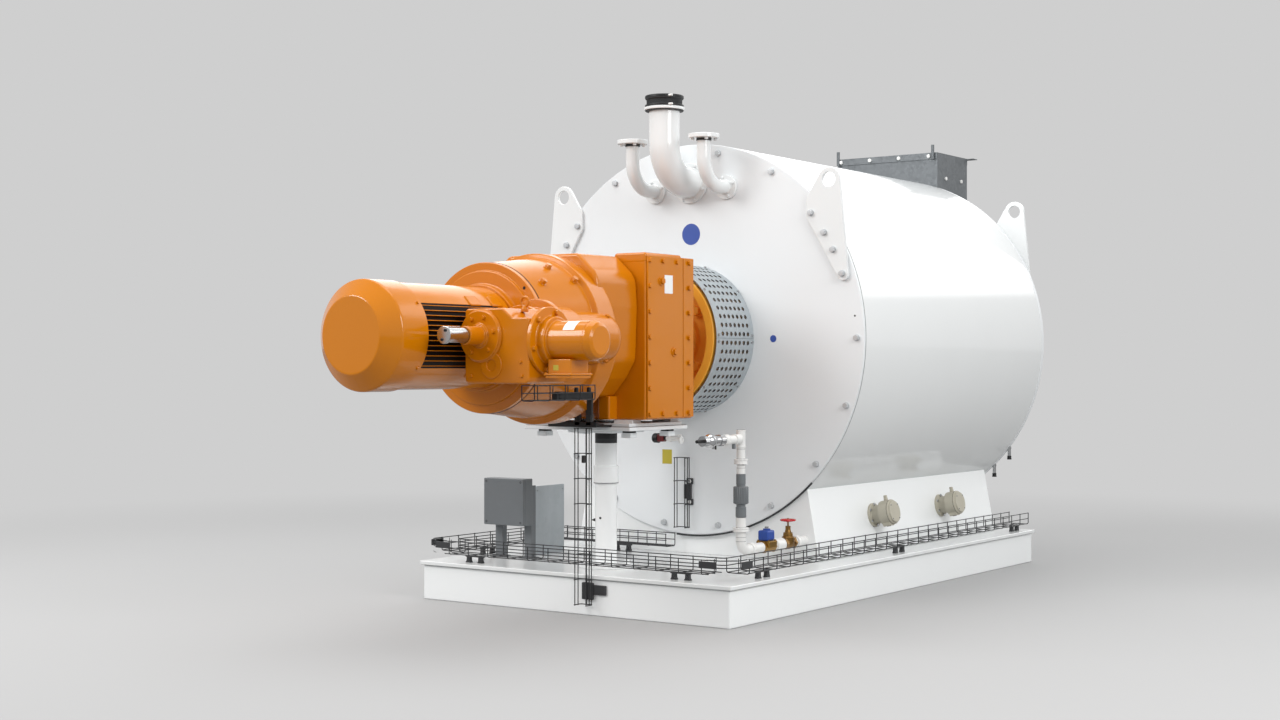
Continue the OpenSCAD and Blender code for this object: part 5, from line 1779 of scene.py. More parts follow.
@dataclass
class Support:
    """The table under the gearbox and the column that carries it from the deck.

    Attributes:
        sole: thickness of the machined sole plate.
        spigot: thickness of the square plate on the column's head.
        foot: thickness of the column's base plate.
        tube: outer radius of the column's tube.
        sleeve: how far the sleeve stands out from the tube.
        base: radius of the base plate.
        low: lowest corner of the table.
        high: highest corner of the table.
    """

    sole: float = 14.0
    spigot: float = 14.0
    foot: float = 14.0
    tube: float = 43.5
    sleeve: float = 6.5
    base: float = 110.0
    low: np.ndarray = box_corner("drive_table", 0)
    high: np.ndarray = box_corner("drive_table", 1)

    def build(self) -> None:
        """Makes the table and the column."""
        self.table()
        self.column()

    def table(self) -> None:
        """A thick lower plate with a sole plate, levelling blocks under its corners, bolts, and black slabs
        in the gaps as painted shadow.
        """
        (x0, y0, z0), (x1, y1, z2) = self.low, self.high
        z1, under = z2 - self.sole, z0 + 28
        middle = (y0 + y1) / 2
        parts = [
            block((x0, y0, under), (x1, y1, z1 - 0.4), 2.5),
            block((x0 + 12, y0 + 14, z1), (x1 - 12, y1 - 24, z2), 1.5),
            block((-110, middle - 110, under - self.spigot), (110, middle + 110, under), 2.0),
        ]
        for y in (y0 + 69, y1 - 69):
            for x in (x0 + 52, x1 - 52):
                parts.append(block((x - 23, y - 23, z0), (x + 23, y + 23, under - 8.5), 2.0))
                # a black spacer on each block: painted shadow of the gap under the plate
                parts.append(block((x - 19, y - 19, under - 9), (x + 19, y + 19, under + 1), 1.0).painted(1))
                parts.append(bolts_on(hex_bolt(18, 9, 10), (x, y, z0 + 9.3), (0, 0, -1)))
        holes = np.array([(x, y, z1) for x in (x0 + 28, x1 - 28) for y in (y0 + 40, middle, y1 - 50)])
        parts.append(bolts_on(hex_bolt(19, 11, 0), holes + [0, 0, self.sole - 11], (0, 0, 1)))
        # a black slab between the plates: painted shadow of the gap between them
        seam = block((x0 + 3, y0 + 3, z1 - 2), (x1 - 3, y1 - 3, z1 + 1), 0.5)
        made = [*parts, seam.painted(1)]
        piece("table_plates", made, [WHITE_SATIN, SHADOW_BLACK], "white_paint", ["drive_table"])

    def column(self) -> None:
        """The round column: a bolted base, a sleeve with its joint line, a black head ring with a dark ring
        under it as painted shadow of the table, two plugs.
        """
        low, high = span("support_column")
        at = (low + high) / 2
        z0, z1 = low[2], high[2]
        tube, sleeve = self.tube, self.tube + self.sleeve
        profile = [(z0, 30), (z0, self.base), (z0 + self.foot, self.base), (z0 + self.foot, tube),
                   (z1 - 207, tube), (z1 - 207, sleeve), (z1 - 134, sleeve), (z1 - 134, tube),
                   (z1, tube), (z1, 30)]
        body = turned_part(profile, [0, 2, 3, 4, 1.5, 3, 3, 1.5, 1, 0], Axis.Z, at, 96, 4)
        joint = ring_of(z1 - 204, z1 - 201, tube, sleeve + 0.4, Axis.Z, at, 0.5, 96)
        head = ring_of(z1 - 26, z1 - 0.5, tube - 2, tube + 1.2, Axis.Z, at, 1.0, 96)
        # a dark ring under the head: painted shadow of the table on the column
        shadow = ring_of(z1 - 43, z1 - 26, tube - 2, tube + 0.7, Axis.Z, at, 0.6, 96)
        heads = bolt_circle(hex_bolt(19, 11, 14), Axis.Z, at, 84, (45, 135, 225, 315), z0 + self.foot)
        plug_z = z0 + 198
        dot = drum_of(at[1] - tube - 1.2, at[1] - tube + 3, 4.8, Axis.Y, (at[0] + 3, 0, plug_z), 0.6, 24)
        cone = turned_part([(tube - 4, 1), (tube - 4, 6.5), (tube + 3, 6.0), (tube + 13, 2.0),
                            (tube + 13, 0.6)], [0, 0.5, 1, 0.8, 0], Axis.X, (0, 0, 0), 24)
        cone = cone.turned(215.2).moved(at[0], at[1], plug_z - 10)
        made = [body, heads, coat(1, joint, head, dot, cone), coat(2, shadow)]
        piece("telescopic_column", made, [WHITE_PAINTED_LIGHT, BLACK_PLASTIC, RUBBER], "white_paint",
              ["support_column"])


@dataclass
class Boxes:
    """The junction box on its two posts and the upright galvanised panel behind it.

    Attributes:
        lid: thickness of the box's lid.
    """

    lid: float = 12.0

    def build(self) -> None:
        """Makes the box, its posts and the panel."""
        self.box()
        self.posts()
        self.panel()

    def box(self) -> None:
        """A folded box with an overlapping lid, four screws, and cable glands on its underside."""
        (x0, y0, z0), (x1, y1, z1) = span("junction_box")
        body = block((x0, y0 + self.lid, z0), (x1, y1, z1), 4.0)
        lid = block((x0 + 0.5, y0, z0 + 0.5), (x1 - 0.5, y0 + self.lid + 1, z1 - 0.5), 2.5, Axis.Y)
        gap = block((x0 + 3, y0 + self.lid - 1, z0 + 3), (x1 - 3, y0 + self.lid + 3, z1 - 3), 0.5, Axis.Y)
        spots = np.array([(x, y0, z) for x in (x0 + 14, x1 - 14) for z in (z0 + 14, z1 - 14)])
        screws = bolts_on(socket_screw(5, 1.5), spots + [0, 1.3, 0], (0, -1, 0))
        glands = [drum_of(z0 + 0.2, z0 + 9, 11, Axis.Z,
                          (x0 + share * (x1 - x0), (y0 + y1 + self.lid) / 2, 0), 1.0, 6)
                  for share in (0.2, 0.4, 0.6, 0.8)]
        made = [body, lid, coat(1, gap, screws, *glands)]
        piece("junction_box_case", made, [GREY_POWDER, BLACK_PLASTIC], "grey_paint", ["junction_box"])

    def posts(self) -> None:
        """Two channel posts on foot plates, each plate with two bolts."""
        (x0, y0, z0), (x1, y1, z1) = span("junction_box_posts")
        parts = []
        for x in (x0 + 30, x1 - 30):
            t, back = 4.0, y0 + 8
            section = [(x - 19, back), (x + 19, back), (x + 19, back + 30), (x + 19 - t, back + 30),
                       (x + 19 - t, back + t), (x - 19 + t, back + t), (x - 19 + t, back + 30),
                       (x - 19, back + 30)]
            parts.append(prism(rounded(section, 1.2, 2), z0 + 5, z1, Axis.Z, 0.8))
            parts.append(block((x - 30, y0, z0), (x + 30, y1, z0 + 6), 1.2))
            spots = np.array([(x + side * 24, y0 + 25, z0 + 6) for side in (-1, 1)])
            parts.append(bolts_on(hex_bolt(10, 6, 6), spots, (0, 0, 1)))
        piece("box_posts", parts, [GREY_POWDER], "grey_paint", ["junction_box_posts"])

    def panel(self) -> None:
        """A folded sheet with returned edges and a row of terminal lugs down its front edge."""
        (x0, y0, z0), (x1, y1, z1) = span("instrument_panel")
        sheet_x = x1 - 12
        sheet = block((sheet_x, y0, z0), (x1, y1, z1), 2.2)
        spots = np.array([(x1, y, z) for y in (y0 + 12, y1 - 12) for z in (z0 + 20, z1 - 20)])
        screws = bolts_on(hex_bolt(8, 3, 0), spots - [3, 0, 0], (1, 0, 0))
        low, count = z0 + 142, 13
        step = (z1 - 6 - low) / count
        lug = block((x0 + 1, y0 + 1, 1.2), (x0 + 8, y0 + 13, step - 1.6), 0.8)
        strip = block((x0 + 4, y0 + 0.6, low), (x0 + 8, y0 + 13.5, z1 - 4), 0.8)
        places = np.stack([np.zeros(count), np.zeros(count), low + step * np.arange(count)], -1)
        made = [sheet, coat(1, screws), coat(2, strip, lug.scattered(places))]
        piece("galvanised_panel", made, [ZINC_PANEL, STEEL, BLACK_PLASTIC], "galvanised_sheet",
              ["instrument_panel"])


# ---- Cable trays ----


@dataclass
class WireTray:
    """A straight basket of round wires along +X from the origin, its floor's underside at Z = 0.

    Attributes:
        length: of the basket.
        width: between the middles of its side wires.
        height: from the floor wires' underside to the top wires' underside.
        wire: diameter of the wires with their dip; they are drawn at the steel's own diameter.
        pitch: the cross wires' spacing is the even one nearest to this.
        start: distance of the first cross wire from the basket's end.
        sides: faces round a wire.
        open_left: leaves out the wire in the left lower corner.
    """

    length: float
    width: float
    height: float
    wire: float = 5.0
    pitch: float = 100.0
    start: float = 2.5
    sides: int = 10
    open_left: bool = False

    @property
    def steel(self) -> float:
        """Radius of the steel wire inside its dip."""
        return 0.4 * self.wire

    def rail(self, y: float, z: float) -> Surface:
        """One wire along the basket.

        Args:
            y: sideways place of its middle.
            z: height of its underside.

        Returns:
            The wire, with blunt ends.
        """
        r = self.steel
        tip = [(0, 0.5 * r), (0.4 * r, r), (self.length - 0.4 * r, r), (self.length, 0.5 * r)]
        return lathe(tip, Axis.X, (0, y, z + self.wire / 2), self.sides)

    def cross(self) -> Surface:
        """One cross wire, bent up at both sides.

        Returns:
            The wire in the plane X = 0.
        """
        r, half, top = self.wire / 2, self.width / 2, self.height + self.wire
        path = line_to([(0, half, top), (0, half, r), (0, -half, r), (0, -half, top)], 9.0, 4, 200.0)
        return swept(path, circle(self.steel, self.sides), (1, 0, 0))

    def surface(self) -> Surface:
        """Rails on the floor and sides, and cross wires at an even pitch.

        Returns:
            The whole basket.
        """
        half, lift = self.width / 2, 0.35 * self.wire
        spots = [(-half + lift, self.height), (-half + lift, self.height / 2), (-half + 3 * lift, lift),
                 (0, lift), (half - 3 * lift, lift), (half - lift, self.height / 2),
                 (half - lift, self.height)]
        if self.open_left:
            del spots[2]
        rails = [self.rail(y, z) for y, z in spots]
        count = max(round((self.length - 2 * self.start) / self.pitch), 1)
        along = np.linspace(self.start, self.length - self.start, count + 1)
        places = np.stack([along, *np.zeros((2, count + 1))], -1)
        return Surface.join([*rails, self.cross().scattered(places)])


@dataclass
class Trays:
    """All cable trays with their corners, feet, bracket and clips.

    Attributes:
        wire: diameter of the wires with their dip.
        arm: how far the stand's upper arm reaches along the short tray.
        lift: how far the arm and the short tray lie above the stand's posts.
        first_wire: distance of the front run's first cross wire from its end.
        foot: half length and half width of a foot's bar.
        low: lowest corner of the front tray.
        high: highest corner of the front tray.
    """

    wire: float = 5.0
    arm: float = 218.0
    first_wire: float = 29.0
    lift: float = 30.0
    foot: tuple[float, float] = (46.0, 8.5)
    low: np.ndarray = box_corner("tray_front", 0)
    high: np.ndarray = box_corner("tray_front", 1)

    def build(self) -> None:
        """Makes the straight runs, corners, upright runs, feet, bracket and clips."""
        self.runs()
        self.uprights()
        self.corners()
        self.feet()
        self.bracket()
        self.clips()

    def run(self, name: str, node: str, along: Axis, start: float = 2.5, lift: float = 0.0) -> None:
        """A level run from the node's box, along X or along Y.

        Args:
            name: the piece's name.
            node: the CAD node that it replaces.
            along: the run's direction.
            start: distance of the first cross wire from the end.
            lift: how far a run along Y is moved up and along.
        """
        low, high = span(node)
        first = 0 if along is Axis.X else 1
        made = WireTray(high[first] - low[first], high[1 - first] - low[1 - first] - self.wire,
                        high[2] - low[2] - self.wire, start=start).surface()
        if along is Axis.X:
            made = made.moved(low[0], (low[1] + high[1]) / 2, low[2])
        else:
            made = made.turned(90).moved((low[0] + high[0]) / 2, low[1] + lift, low[2] + lift)
        piece(name, [made], [BLACK_WIRE], "black_wire", [node])

    def runs(self) -> None:
        """The four level runs on the deck and the short one beside the barrel."""
        self.run("basket_front", "tray_front", Axis.X, start=self.first_wire)
        self.run("basket_left", "tray_left", Axis.Y)
        self.run("basket_cross", "tray_cross", Axis.X)
        self.run("basket_right", "tray_right", Axis.Y)
        self.run("basket_stub", "tray_stub", Axis.Y, lift=self.lift)

    def uprights(self) -> None:
        """The riser in front of the plinth and the short one on the front plate, open towards the viewer."""
        for name, node in (("basket_riser", "tray_riser"), ("basket_on_plate", "tray_end_plate")):
            low, high = span(node)
            flat = WireTray(high[2] - low[2], high[0] - low[0] - self.wire, high[1] - low[1] - self.wire,
                            open_left=True).surface()
            upright = Surface(flat.points[:, [1, 2, 0]] * [1, -1, 1], flat.loops, flat.sizes,
                              flat.paint).outward()
            made = upright.moved((low[0] + high[0]) / 2, high[1], low[2])
            piece(name, [made], [BLACK_WIRE], "black_wire", [node])

    def corners(self) -> None:
        """The two bent pieces: each wire cut across the corner at 45 degrees, and a cross wire."""
        low, high = span("tray_corners")
        front_low, front_high = span("tray_front")
        right_low, right_high = span("tray_right")
        y_mid = (front_low[1] + front_high[1]) / 2
        x_mid = (right_low[0] + right_high[0]) / 2
        start_x, start_y = front_high[0], right_low[1]
        half, r = (front_high[1] - front_low[1]) / 2 - 3.2, self.wire / 2
        base, rise = front_low[2] + 0.5, front_high[2] - front_low[2] - self.wire
        parts = []
        for e, levels in ((-1, (0.0, rise / 2, rise)), (0, (0.0,)), (1, (0.0, rise / 2, rise))):
            off = e * (half - r)
            bend = min(start_x - 12, x_mid - abs(off) - 20)
            for level in levels:
                ends = [(bend, y_mid + off), (start_x + 4, y_mid + off), (x_mid - off, start_y - 4),
                        (x_mid - off, start_y + 12)]
                if e < 0:
                    ends[1:3] = [(x_mid - off - 62, y_mid + off), (x_mid - off, y_mid + off + 52)]
                path = line_to([(x, y, base + r + level) for x, y in ends], 16.0, 4, 200.0)
                parts.append(swept(path, circle(0.8 * r, 10), (0, 0, 1)))
        cross = WireTray(10, 2 * half - 5, rise - 1, self.wire - 1).cross().turned(-45)
        parts.append(cross.moved((start_x + x_mid) / 2 + 2, (start_y + y_mid) / 2 - 2, base + 0.6))
        bent = Surface.join(parts)
        inside = np.clip(bent.points, low + [0, 0.2, 0.2], high - [0.2, 0.2, 0.2])
        bent = Surface(inside, bent.loops, bent.sizes, bent.paint)
        piece("basket_corners", [bent, bent.mirrored()], [BLACK_WIRE], "black_wire", ["tray_corners"])

    def feet(self) -> None:
        """Saddle feet: a bar under the basket on two flared legs with foot flanges and a screw each."""
        top = self.low[2] - 0.3
        deck = span("tray_feet")[0][2]
        h = top - deck
        long, wide = self.foot
        parts = [block((-long, -wide, h - 7), (long, wide, h), 2.0)]
        for side in (-1, 1):
            x = 31 * side
            flare = rounded([(x - 13, 0), (x + 13, 0), (x + 13, 4), (x + 9.5, 7), (x + 8, h - 5),
                             (x - 8, h - 5), (x - 9.5, 7), (x - 13, 4)], [1.5, 1.5, 1.5, 4, 1, 1, 4, 1.5], 3)
            parts.append(prism(flare, -wide, wide, Axis.Y, 2.0))
            parts.append(bolts_on(socket_screw(4, 3), np.array([[x, 0, h]]), (0, 0, 1)).moved(0, 0, -2.8))
        foot = Surface.join(parts)
        runs = ("tray_front", "tray_left", "tray_cross", "tray_right")
        front, left, cross, right = (sum(span(run)) / 2 for run in runs)
        box_x = sum(span("junction_box"))[0] / 2
        spots = [(box_x, front[1], 0), (-box_x - 27, front[1], 0), (box_x + 204, cross[1], 0)]
        y0, y1 = self.low[1], span("tray_right")[1][1]
        spots += [(right[0], y, 90) for y in (y0 + 289.5, y0 + 1421.5, y1 - 57)]
        spots += [(left[0], y0 + 352.5, 90)]
        feet = [foot.turned(turn).moved(x, y, deck) for x, y, turn in spots]
        piece("basket_feet", feet, [GREY_LEG], "black_wire", ["tray_feet"])

    def bracket(self) -> None:
        """The stand on the table's edge: a base bar, two posts, and an arm to the short tray."""
        (x0, y_arm, z0), (x1, y1, top) = span("tray_bracket")
        y0 = span("tray_riser")[1][1] - 22
        base = [block((x0, y0, z0), (x0 + 236, y0 + 12, z0 + 23), 2.0, Axis.X),
                block((x0, y0 + 4, z0), (x0 + 236, y1, z0 + 8), 1.5)]
        posts = (x0 + 143, x0 + 198)
        for x in posts:
            base.append(block((x - 14, y0, z0 + 6), (x + 14, y0 + 12, top - 8), 2.0))
            spots = np.array([(x, y0 + 1.2, z) for z in (z0 + 12, top - 40)])
            base.append(bolts_on(socket_screw(4, 1.2), spots, (0, -1, 0)))
        base.append(block((posts[0], y0 + 1, top - 26), (posts[1], y0 + 11, top), 2.0, Axis.X))
        x, y_end, low = x1 - 12, y_arm + self.arm, top - 80
        ends = np.array([(posts[1], y0 + 6, low + 12), (posts[1] + 13, y0 + 6, low + 12),
                         (x, y_end - 6, low + 12), (x, y_end - 16, low + 12)], float)
        link = rounded([(-11, -12), (11, -12), (11, 12), (-11, 12)], 2.0)
        base.append(swept(rounded(ends, 8.0, 4, closed=False), link, (0, 0, 1)))
        top += self.lift
        base.append(block((x - 12, y_end - 12, low), (x + 12, y_end, top), 2.0))
        base.append(block((x - 12, y_arm, top - 26), (x + 12, y_end - 0.5, top), 2.0, Axis.Y))
        base.append(block((x - 14, y_arm + 14, top - 25), (x + 14, y_arm + 62, top + 3), 3.0, Axis.Y))
        base += [drum_of(top - 2, top + 17, 8, Axis.Z, (x, y, 0), 3.0, 24) for y in (y_end - 12, y_end - 88)]
        piece("tray_stand", base, [BLACK_PLASTIC], "black_wire", ["tray_bracket"])

    def clips(self) -> None:
        """Clips behind the upright trays, screw lugs, and the splice plates at the corners."""
        riser, plate = span("tray_riser"), span("tray_end_plate")
        x, back = (riser[0][0] + riser[1][0]) / 2, riser[1][1] + 0.3
        wall = span("plinth")[0][1] - 0.3
        table = span("drive_table")
        z = span("tray_clips")[0][2]
        parts = [
            block((x - 28, back, z), (x + 24, wall, z + 66), 3.0, Axis.Y),
            block((x + 20, wall - 9, z + 20), (x + 84, wall, z + 58), 2.5, Axis.Y),
            block((x - 30, back, table[1][2] - 12), (x + 30, table[0][1] - 0.3, table[1][2] - 1), 2.0),
            block((x - 22, back - 9, z + 527), (x - 8, back + 3, z + 556), 2.0, Axis.Y),
        ]
        screw = socket_screw(6, 4)
        heads = [bolts_on(screw, np.array([[x + 66, wall - 8.4, z + 39]]), (0, -1, 0)).moved(0, 3.8, 0)]
        x, back, face = (plate[0][0]
                         + plate[1][0]) / 2, plate[1][1] + 0.3, span("front_end_plate")[0][1] - 0.3
        z = plate[0][2] + 97
        parts.append(block((x - 8, back, z + 26), (x + 27, face, z + 89), 2.0, Axis.Y))
        for h in (0, 89):
            parts.append(block((x + 3, face - 8.7, z + h), (x + 35, face, z + h + 26), 2.0, Axis.Y))
            heads.append(bolts_on(socket_screw(8.5, 3),
                                  np.array([[x + 20, face - 7.6, z + h + 13]]), (0, -1, 0)))
        (_, fy0, fz0), (fx1, _, _) = span("tray_front")
        splice = block((fx1 - 38, fy0 - 3.8, fz0 + 27), (fx1 + 40, fy0 - 0.5, fz0 + 53), 1.4, Axis.Y)
        (_, ry0, rz0), (rx1, _, _) = span("tray_right")
        side = block((rx1 + 0.5, ry0 - 58, rz0 + 27), (rx1 + 3.8, ry0 + 17, rz0 + 53), 1.4, Axis.X)
        dot = bolts_on(socket_screw(4.5, 1.5), np.array([[fx1 - 30, fy0 - 2.6, fz0 + 40]]), (0, -1, 0))
        for thing in (splice, side, dot):
            parts += [thing, thing.mirrored()]
        piece("basket_clips", [*parts, coat(1, *heads)], [GREY_LEG, WHITE_PLASTIC], "black_wire",
              ["tray_clips"])


# ---- Water line ----


@dataclass
class WaterLine:
    """The white water line beside the cradle, its union, valves and wheel, and the small drain valve.

    Attributes:
        wall: thickness of the pipe's wall.
        bend_r: radius of the bend at the foot of the riser.
        union_length: height of the grey union.
        ball_shift: how far the ball valve is drawn towards the drive end.
        spokes: spokes of the handwheel.
        lobes: waves round the handwheel's rim.
        wheel_low: lowest corner of the handwheel.
        wheel_high: highest corner of the handwheel.
        solenoid: corners of the solenoid valve.
        gate: corners of the gate valve.
        union: corners of the union.
        low: lowest corner of the water pipe.
        high: highest corner of the water pipe.
    """

    bend_r: float = 40.0
    wall: float = 3.0
    union_length: float = 170.0
    ball_shift: float = 54.0
    spokes: int = 5
    lobes: int = 12
    low: np.ndarray = box_corner("water_pipe", 0)
    high: np.ndarray = box_corner("water_pipe", 1)
    wheel_low: np.ndarray = box_corner("gate_valve_handwheel", 0)
    wheel_high: np.ndarray = box_corner("gate_valve_handwheel", 1)
    solenoid: tuple = field(default_factory=lambda: span("solenoid_valve"))
    gate: tuple = field(default_factory=lambda: span("gate_valve"))
    union: tuple = field(default_factory=lambda: span("riser_union"))

    @property
    def x(self) -> float:
        """X of the line's middle."""
        return (self.wheel_low[0] + self.wheel_high[0]) / 2

    @property
    def pipe_r(self) -> float:
        """Radius of the lower pipe; its collars stand 7 mm prouder."""
        return (self.high[0] - self.low[0]) / 2 - 7

    @property
    def thin_r(self) -> float:
        """Radius of the pipe above the union."""
        return self.pipe_r - 3

    @property
    def riser_y(self) -> float:
        """Y of the riser's middle."""
        return (self.union[0][1] + self.union[1][1]) / 2

    @property
    def level(self) -> float:
        """Height of the line's level run."""
        return self.low[2] + self.pipe_r + 5

    @property
    def tee(self) -> float:
        """Height of the tee's branch."""
        return self.high[2] - 36

    def build(self) -> None:
        """Makes the pipe, then what is screwed into it."""
        self.pipes()
        self.riser_fitting()
        self.ball()
        self.coil_valve()
        self.gate_body()
        self.wheel()
        self.drain()

    def collar(self, low: float, high: float, axis: Axis, at: Sequence[float], radius: float,
               on: float | None = None) -> list[Surface]:
        """A moulded socket on the pipe with a bead at each end, and its dark joint line.

        Args:
            low: start along the axis.
            high: end along the axis.
            axis: the pipe's direction.
            at: a point of the pipe's middle line.
            radius: of the beads.
            on: radius of the pipe inside; the lower pipe's if left out.

        Returns:
            The socket and the joint line.
        """
        r, c = radius, on or self.pipe_r
        profile = [(low, c - 1), (low, r), (low + 5, r), (low + 6, r - 1.6), (high - 6, r - 1.6),
                   (high - 5, r), (high, r), (high, c - 1)]
        body = turned_part(profile, [0, 1.5, 1.5, 1, 1, 1.5, 1.5, 0], axis, at, 56, 2)
        line = ring_of(high - 0.2, high + 1.2, c - 0.6, c + 0.5, axis, at, 0.3, 56)
        return [body, line.painted(1)]

    def pipes(self) -> None:
        """Level run, bend, riser, tee and branch, with collars and thin joint lines."""
        x, y, z, r, thin = self.x, self.riser_y, self.level, self.pipe_r, self.thin_r
        sol, gate = self.solenoid, self.gate
        end = self.high[1]
        path = line_to([(x, sol[0][1] - 0.5, z), (x, y, z), (x, y, self.union[0][2] - 0.5)], self.bend_r, 12)
        up = [(x, y, self.union[0][2] + self.union_length + 0.5), (x, y, self.high[2])]
        branch = line_to([(x, y - 134, self.tee), (x, y - thin + 4, self.tee)], 1.0)
        between = line_to([(x, sol[1][1] + 0.5, z), (x, gate[0][1] - 0.5, z)], 1.0)
        beyond = line_to([(x, gate[1][1] + 0.5, z), (x, end, z)], 1.0)
        runs = ((path, r), (line_to(up, 1.0), thin), (branch, thin), (between, r), (beyond, r))
        parts = [pipe(way, radius, radius - self.wall, (1, 0, 0), 56) for way, radius in runs]
        at_z, at_y, at_branch = (x, y, 0), (x, 0, z), (x, 0, self.tee)
        parts += self.collar(z + 74, z + 90, Axis.Z, at_z, r + 12)
        parts += self.collar(z + 337, z + 358, Axis.Z, at_z, r + 7, thin)
        for height, on in ((z + 36, r), (z + 52, r), (z + 334, thin), (z + 322, thin), (z + 396, thin)):
            parts.append(ring_of(height, height + 1.2, on - 0.6, on + 0.5, Axis.Z, at_z, 0.3, 56).painted(1))
        parts += self.collar(self.tee - 32, self.tee + 35.5, Axis.Z, at_z, thin + 2.6, thin)
        parts += self.collar(y - 52, y - thin + 4, Axis.Y, at_branch, thin + 4, thin)
        parts += self.collar(y - 132, y - 100, Axis.Y, at_branch, thin + 5, thin)
        parts.append(drum_of(self.tee - 36, self.tee - 14, 7.5, Axis.Z, (x, y - 52, 0), 1.0, 24).painted(1))
        parts += self.collar(y + 62, y + 84, Axis.Y, at_y, r + 5)
        parts += self.collar(sol[1][1] + 10.7, gate[0][1] - 10.7, Axis.Y, at_y, r + 6.8)
        parts += self.collar(gate[1][1] + 8.7, gate[1][1] + 34.7, Axis.Y, at_y, r + 6.8)
        parts.append(drum_of(self.tee + 33, self.tee + 35.8, thin + 0.8, Axis.Z, at_z, 0.8, 48).painted(2))
        piece("water_line_pipe", parts, [WHITE_PLASTIC, GREY_PLASTIC, RED_ENAMEL], "white_plastic",
              ["water_pipe"])

    def riser_fitting(self) -> None:
        """The grey union: two spigots and a ribbed nut; rib k's radius is r + 1.4 cos(24 a)."""
        z0, z1 = self.union[0][2], self.union[0][2] + self.union_length
        at = (self.x, self.riser_y, 0)
        profile = [(z0, 12), (z0, 19), (z0 + 3, 21), (z0 + 41, 21), (z0 + 42, 17.8), (z0 + 50, 17.8),
                   (z0 + 54, 26), (z0 + 120, 26), (z0 + 122, 17.8), (z0 + 130, 17.8), (z0 + 131, 18.8),
                   (z1, 18.8), (z1, 12)]
        body = turned_part(profile, [0, 1.5, 2, 1.5, 1, 1, 2, 2, 1, 1, 1.0, 1.5, 0], Axis.Z, at, 56, 2)
        turn = np.linspace(0, 2 * np.pi, 192, endpoint=False)
        wave = 1.4 * np.cos(24 * turn)
        levels = [(z0 + 54, 26.5, 0), (z0 + 56, 28.4, 1), (z0 + 119, 28.4, 1), (z0 + 121, 26.5, 0)]
        ring = np.stack([np.cos(turn), np.sin(turn)], -1)
        rings = np.stack([placed(ring * (r + k * wave)[:, None] + at[:2], z, Axis.Z)
                          for z, r, k in levels])
        piece("riser_union_nut", [body, skin(rings)], [GREY_PLASTIC], "grey_plastic", ["riser_union"])

    def ball(self) -> None:
        """The chromed ball valve: hexagon nuts, a round belly, a black rod, a pin and a black nut."""
        y1 = span("ball_valve")[1][1] - self.ball_shift
        at = (self.x, 0, self.tee)
        belly = y1 - 84 + 27 * np.cos(np.linspace(np.pi, 0, 19))
        bulge = 27 * np.sin(np.linspace(np.pi, 0, 19))
        keep = bulge > 16
        profile = [(y1 - 139.5, 12), (y1 - 139.5, 20), (y1 - 112, 20), (y1 - 110, 17),
                   *zip(belly[keep], bulge[keep]), (y1 - 58, 17), (y1 - 56, 19), (y1 - 34, 19),
                   (y1 - 32, 16), (y1 - 26, 16), (y1 - 24, 22), (y1, 22), (y1, 12)]
        body = lathe(profile, Axis.Y, at, 64)
        nuts = [drum_of(low, high, r, Axis.Y, at, 1.5, 6) for low, high, r in
                ((y1 - 28, y1 - 4, 24), (y1 - 138, y1 - 114, 21))]
        stem = drum_of(self.tee - 31, self.tee - 20, 6, Axis.Z, (self.x, y1 - 62, 0), 1.0, 32)
        tail = drum_of(y1 - 178, y1 - 138, 6.5, Axis.Y, at, 1.5, 32)
        pin = drum_of(self.tee - 34, self.tee - 14, 3.2, Axis.Z, (self.x, y1 - 45, 0), 1.0, 24)
        grip = drum_of(y1 - 20, y1 + 6, 19.5, Axis.Y, at, 1.5, 6)
        made = [body, *nuts, stem, coat(1, tail, pin, grip)]
        piece("chromed_ball_valve", made, [CHROME, BLACK_PLASTIC], "chrome", ["ball_valve"])

    def coil_valve(self) -> None:
        """The brass solenoid valve: hexagon ends, a bolted body, and a rounded blue coil with its plug."""
        (_, y0, _), (_, y1, z1) = self.solenoid
        y, at = (y0 + y1) / 2, (self.x, 0, self.level)
        brass = [drum_of(y0, y0 + 14, 26, Axis.Y, at, 1.5, 6), drum_of(y1 - 14, y1, 26, Axis.Y, at, 1.5, 6),
                 drum_of(y0 + 10, y1 - 10, 23, Axis.Y, at, 2.0, 48),
                 block((self.x - 31.5, y - 31.5, self.level - 4), (self.x + 31.5, y + 31.5, self.level + 24),
                       3.5)]
        spots = np.array([(self.x + a, y + b, self.level + 24) for a in (-24, 24) for b in (-24, 24)])
        brass.append(bolts_on(socket_screw(4.5, 4), spots, (0, 0, 1)))
        coil = block((self.x - 23.5, y - 30, self.level + 25),
                     (self.x + 23.5, y + 24, self.level + 66), 5.0, Axis.Y)
        plug = block((self.x - 13, y + 22, self.level + 32),
                     (self.x + 13, y + 30.5, self.level + 58), 2.5, Axis.Y)
        crown = drum_of(self.level + 64, self.level + 72, 15, Axis.Z, (self.x, y, 0), 2.0, 40)
        nut = drum_of(self.level + 71, z1, 9, Axis.Z, (self.x, y, 0), 1.2, 6)
        parts = [*brass, coat(1, coil), coat(2, plug), coat(1, crown), coat(3, nut)]
        piece("solenoid_valve_and_coil", parts, [BRASS, BLUE_PLASTIC, BLACK_PLASTIC, STEEL], "brass",
              ["solenoid_valve"])

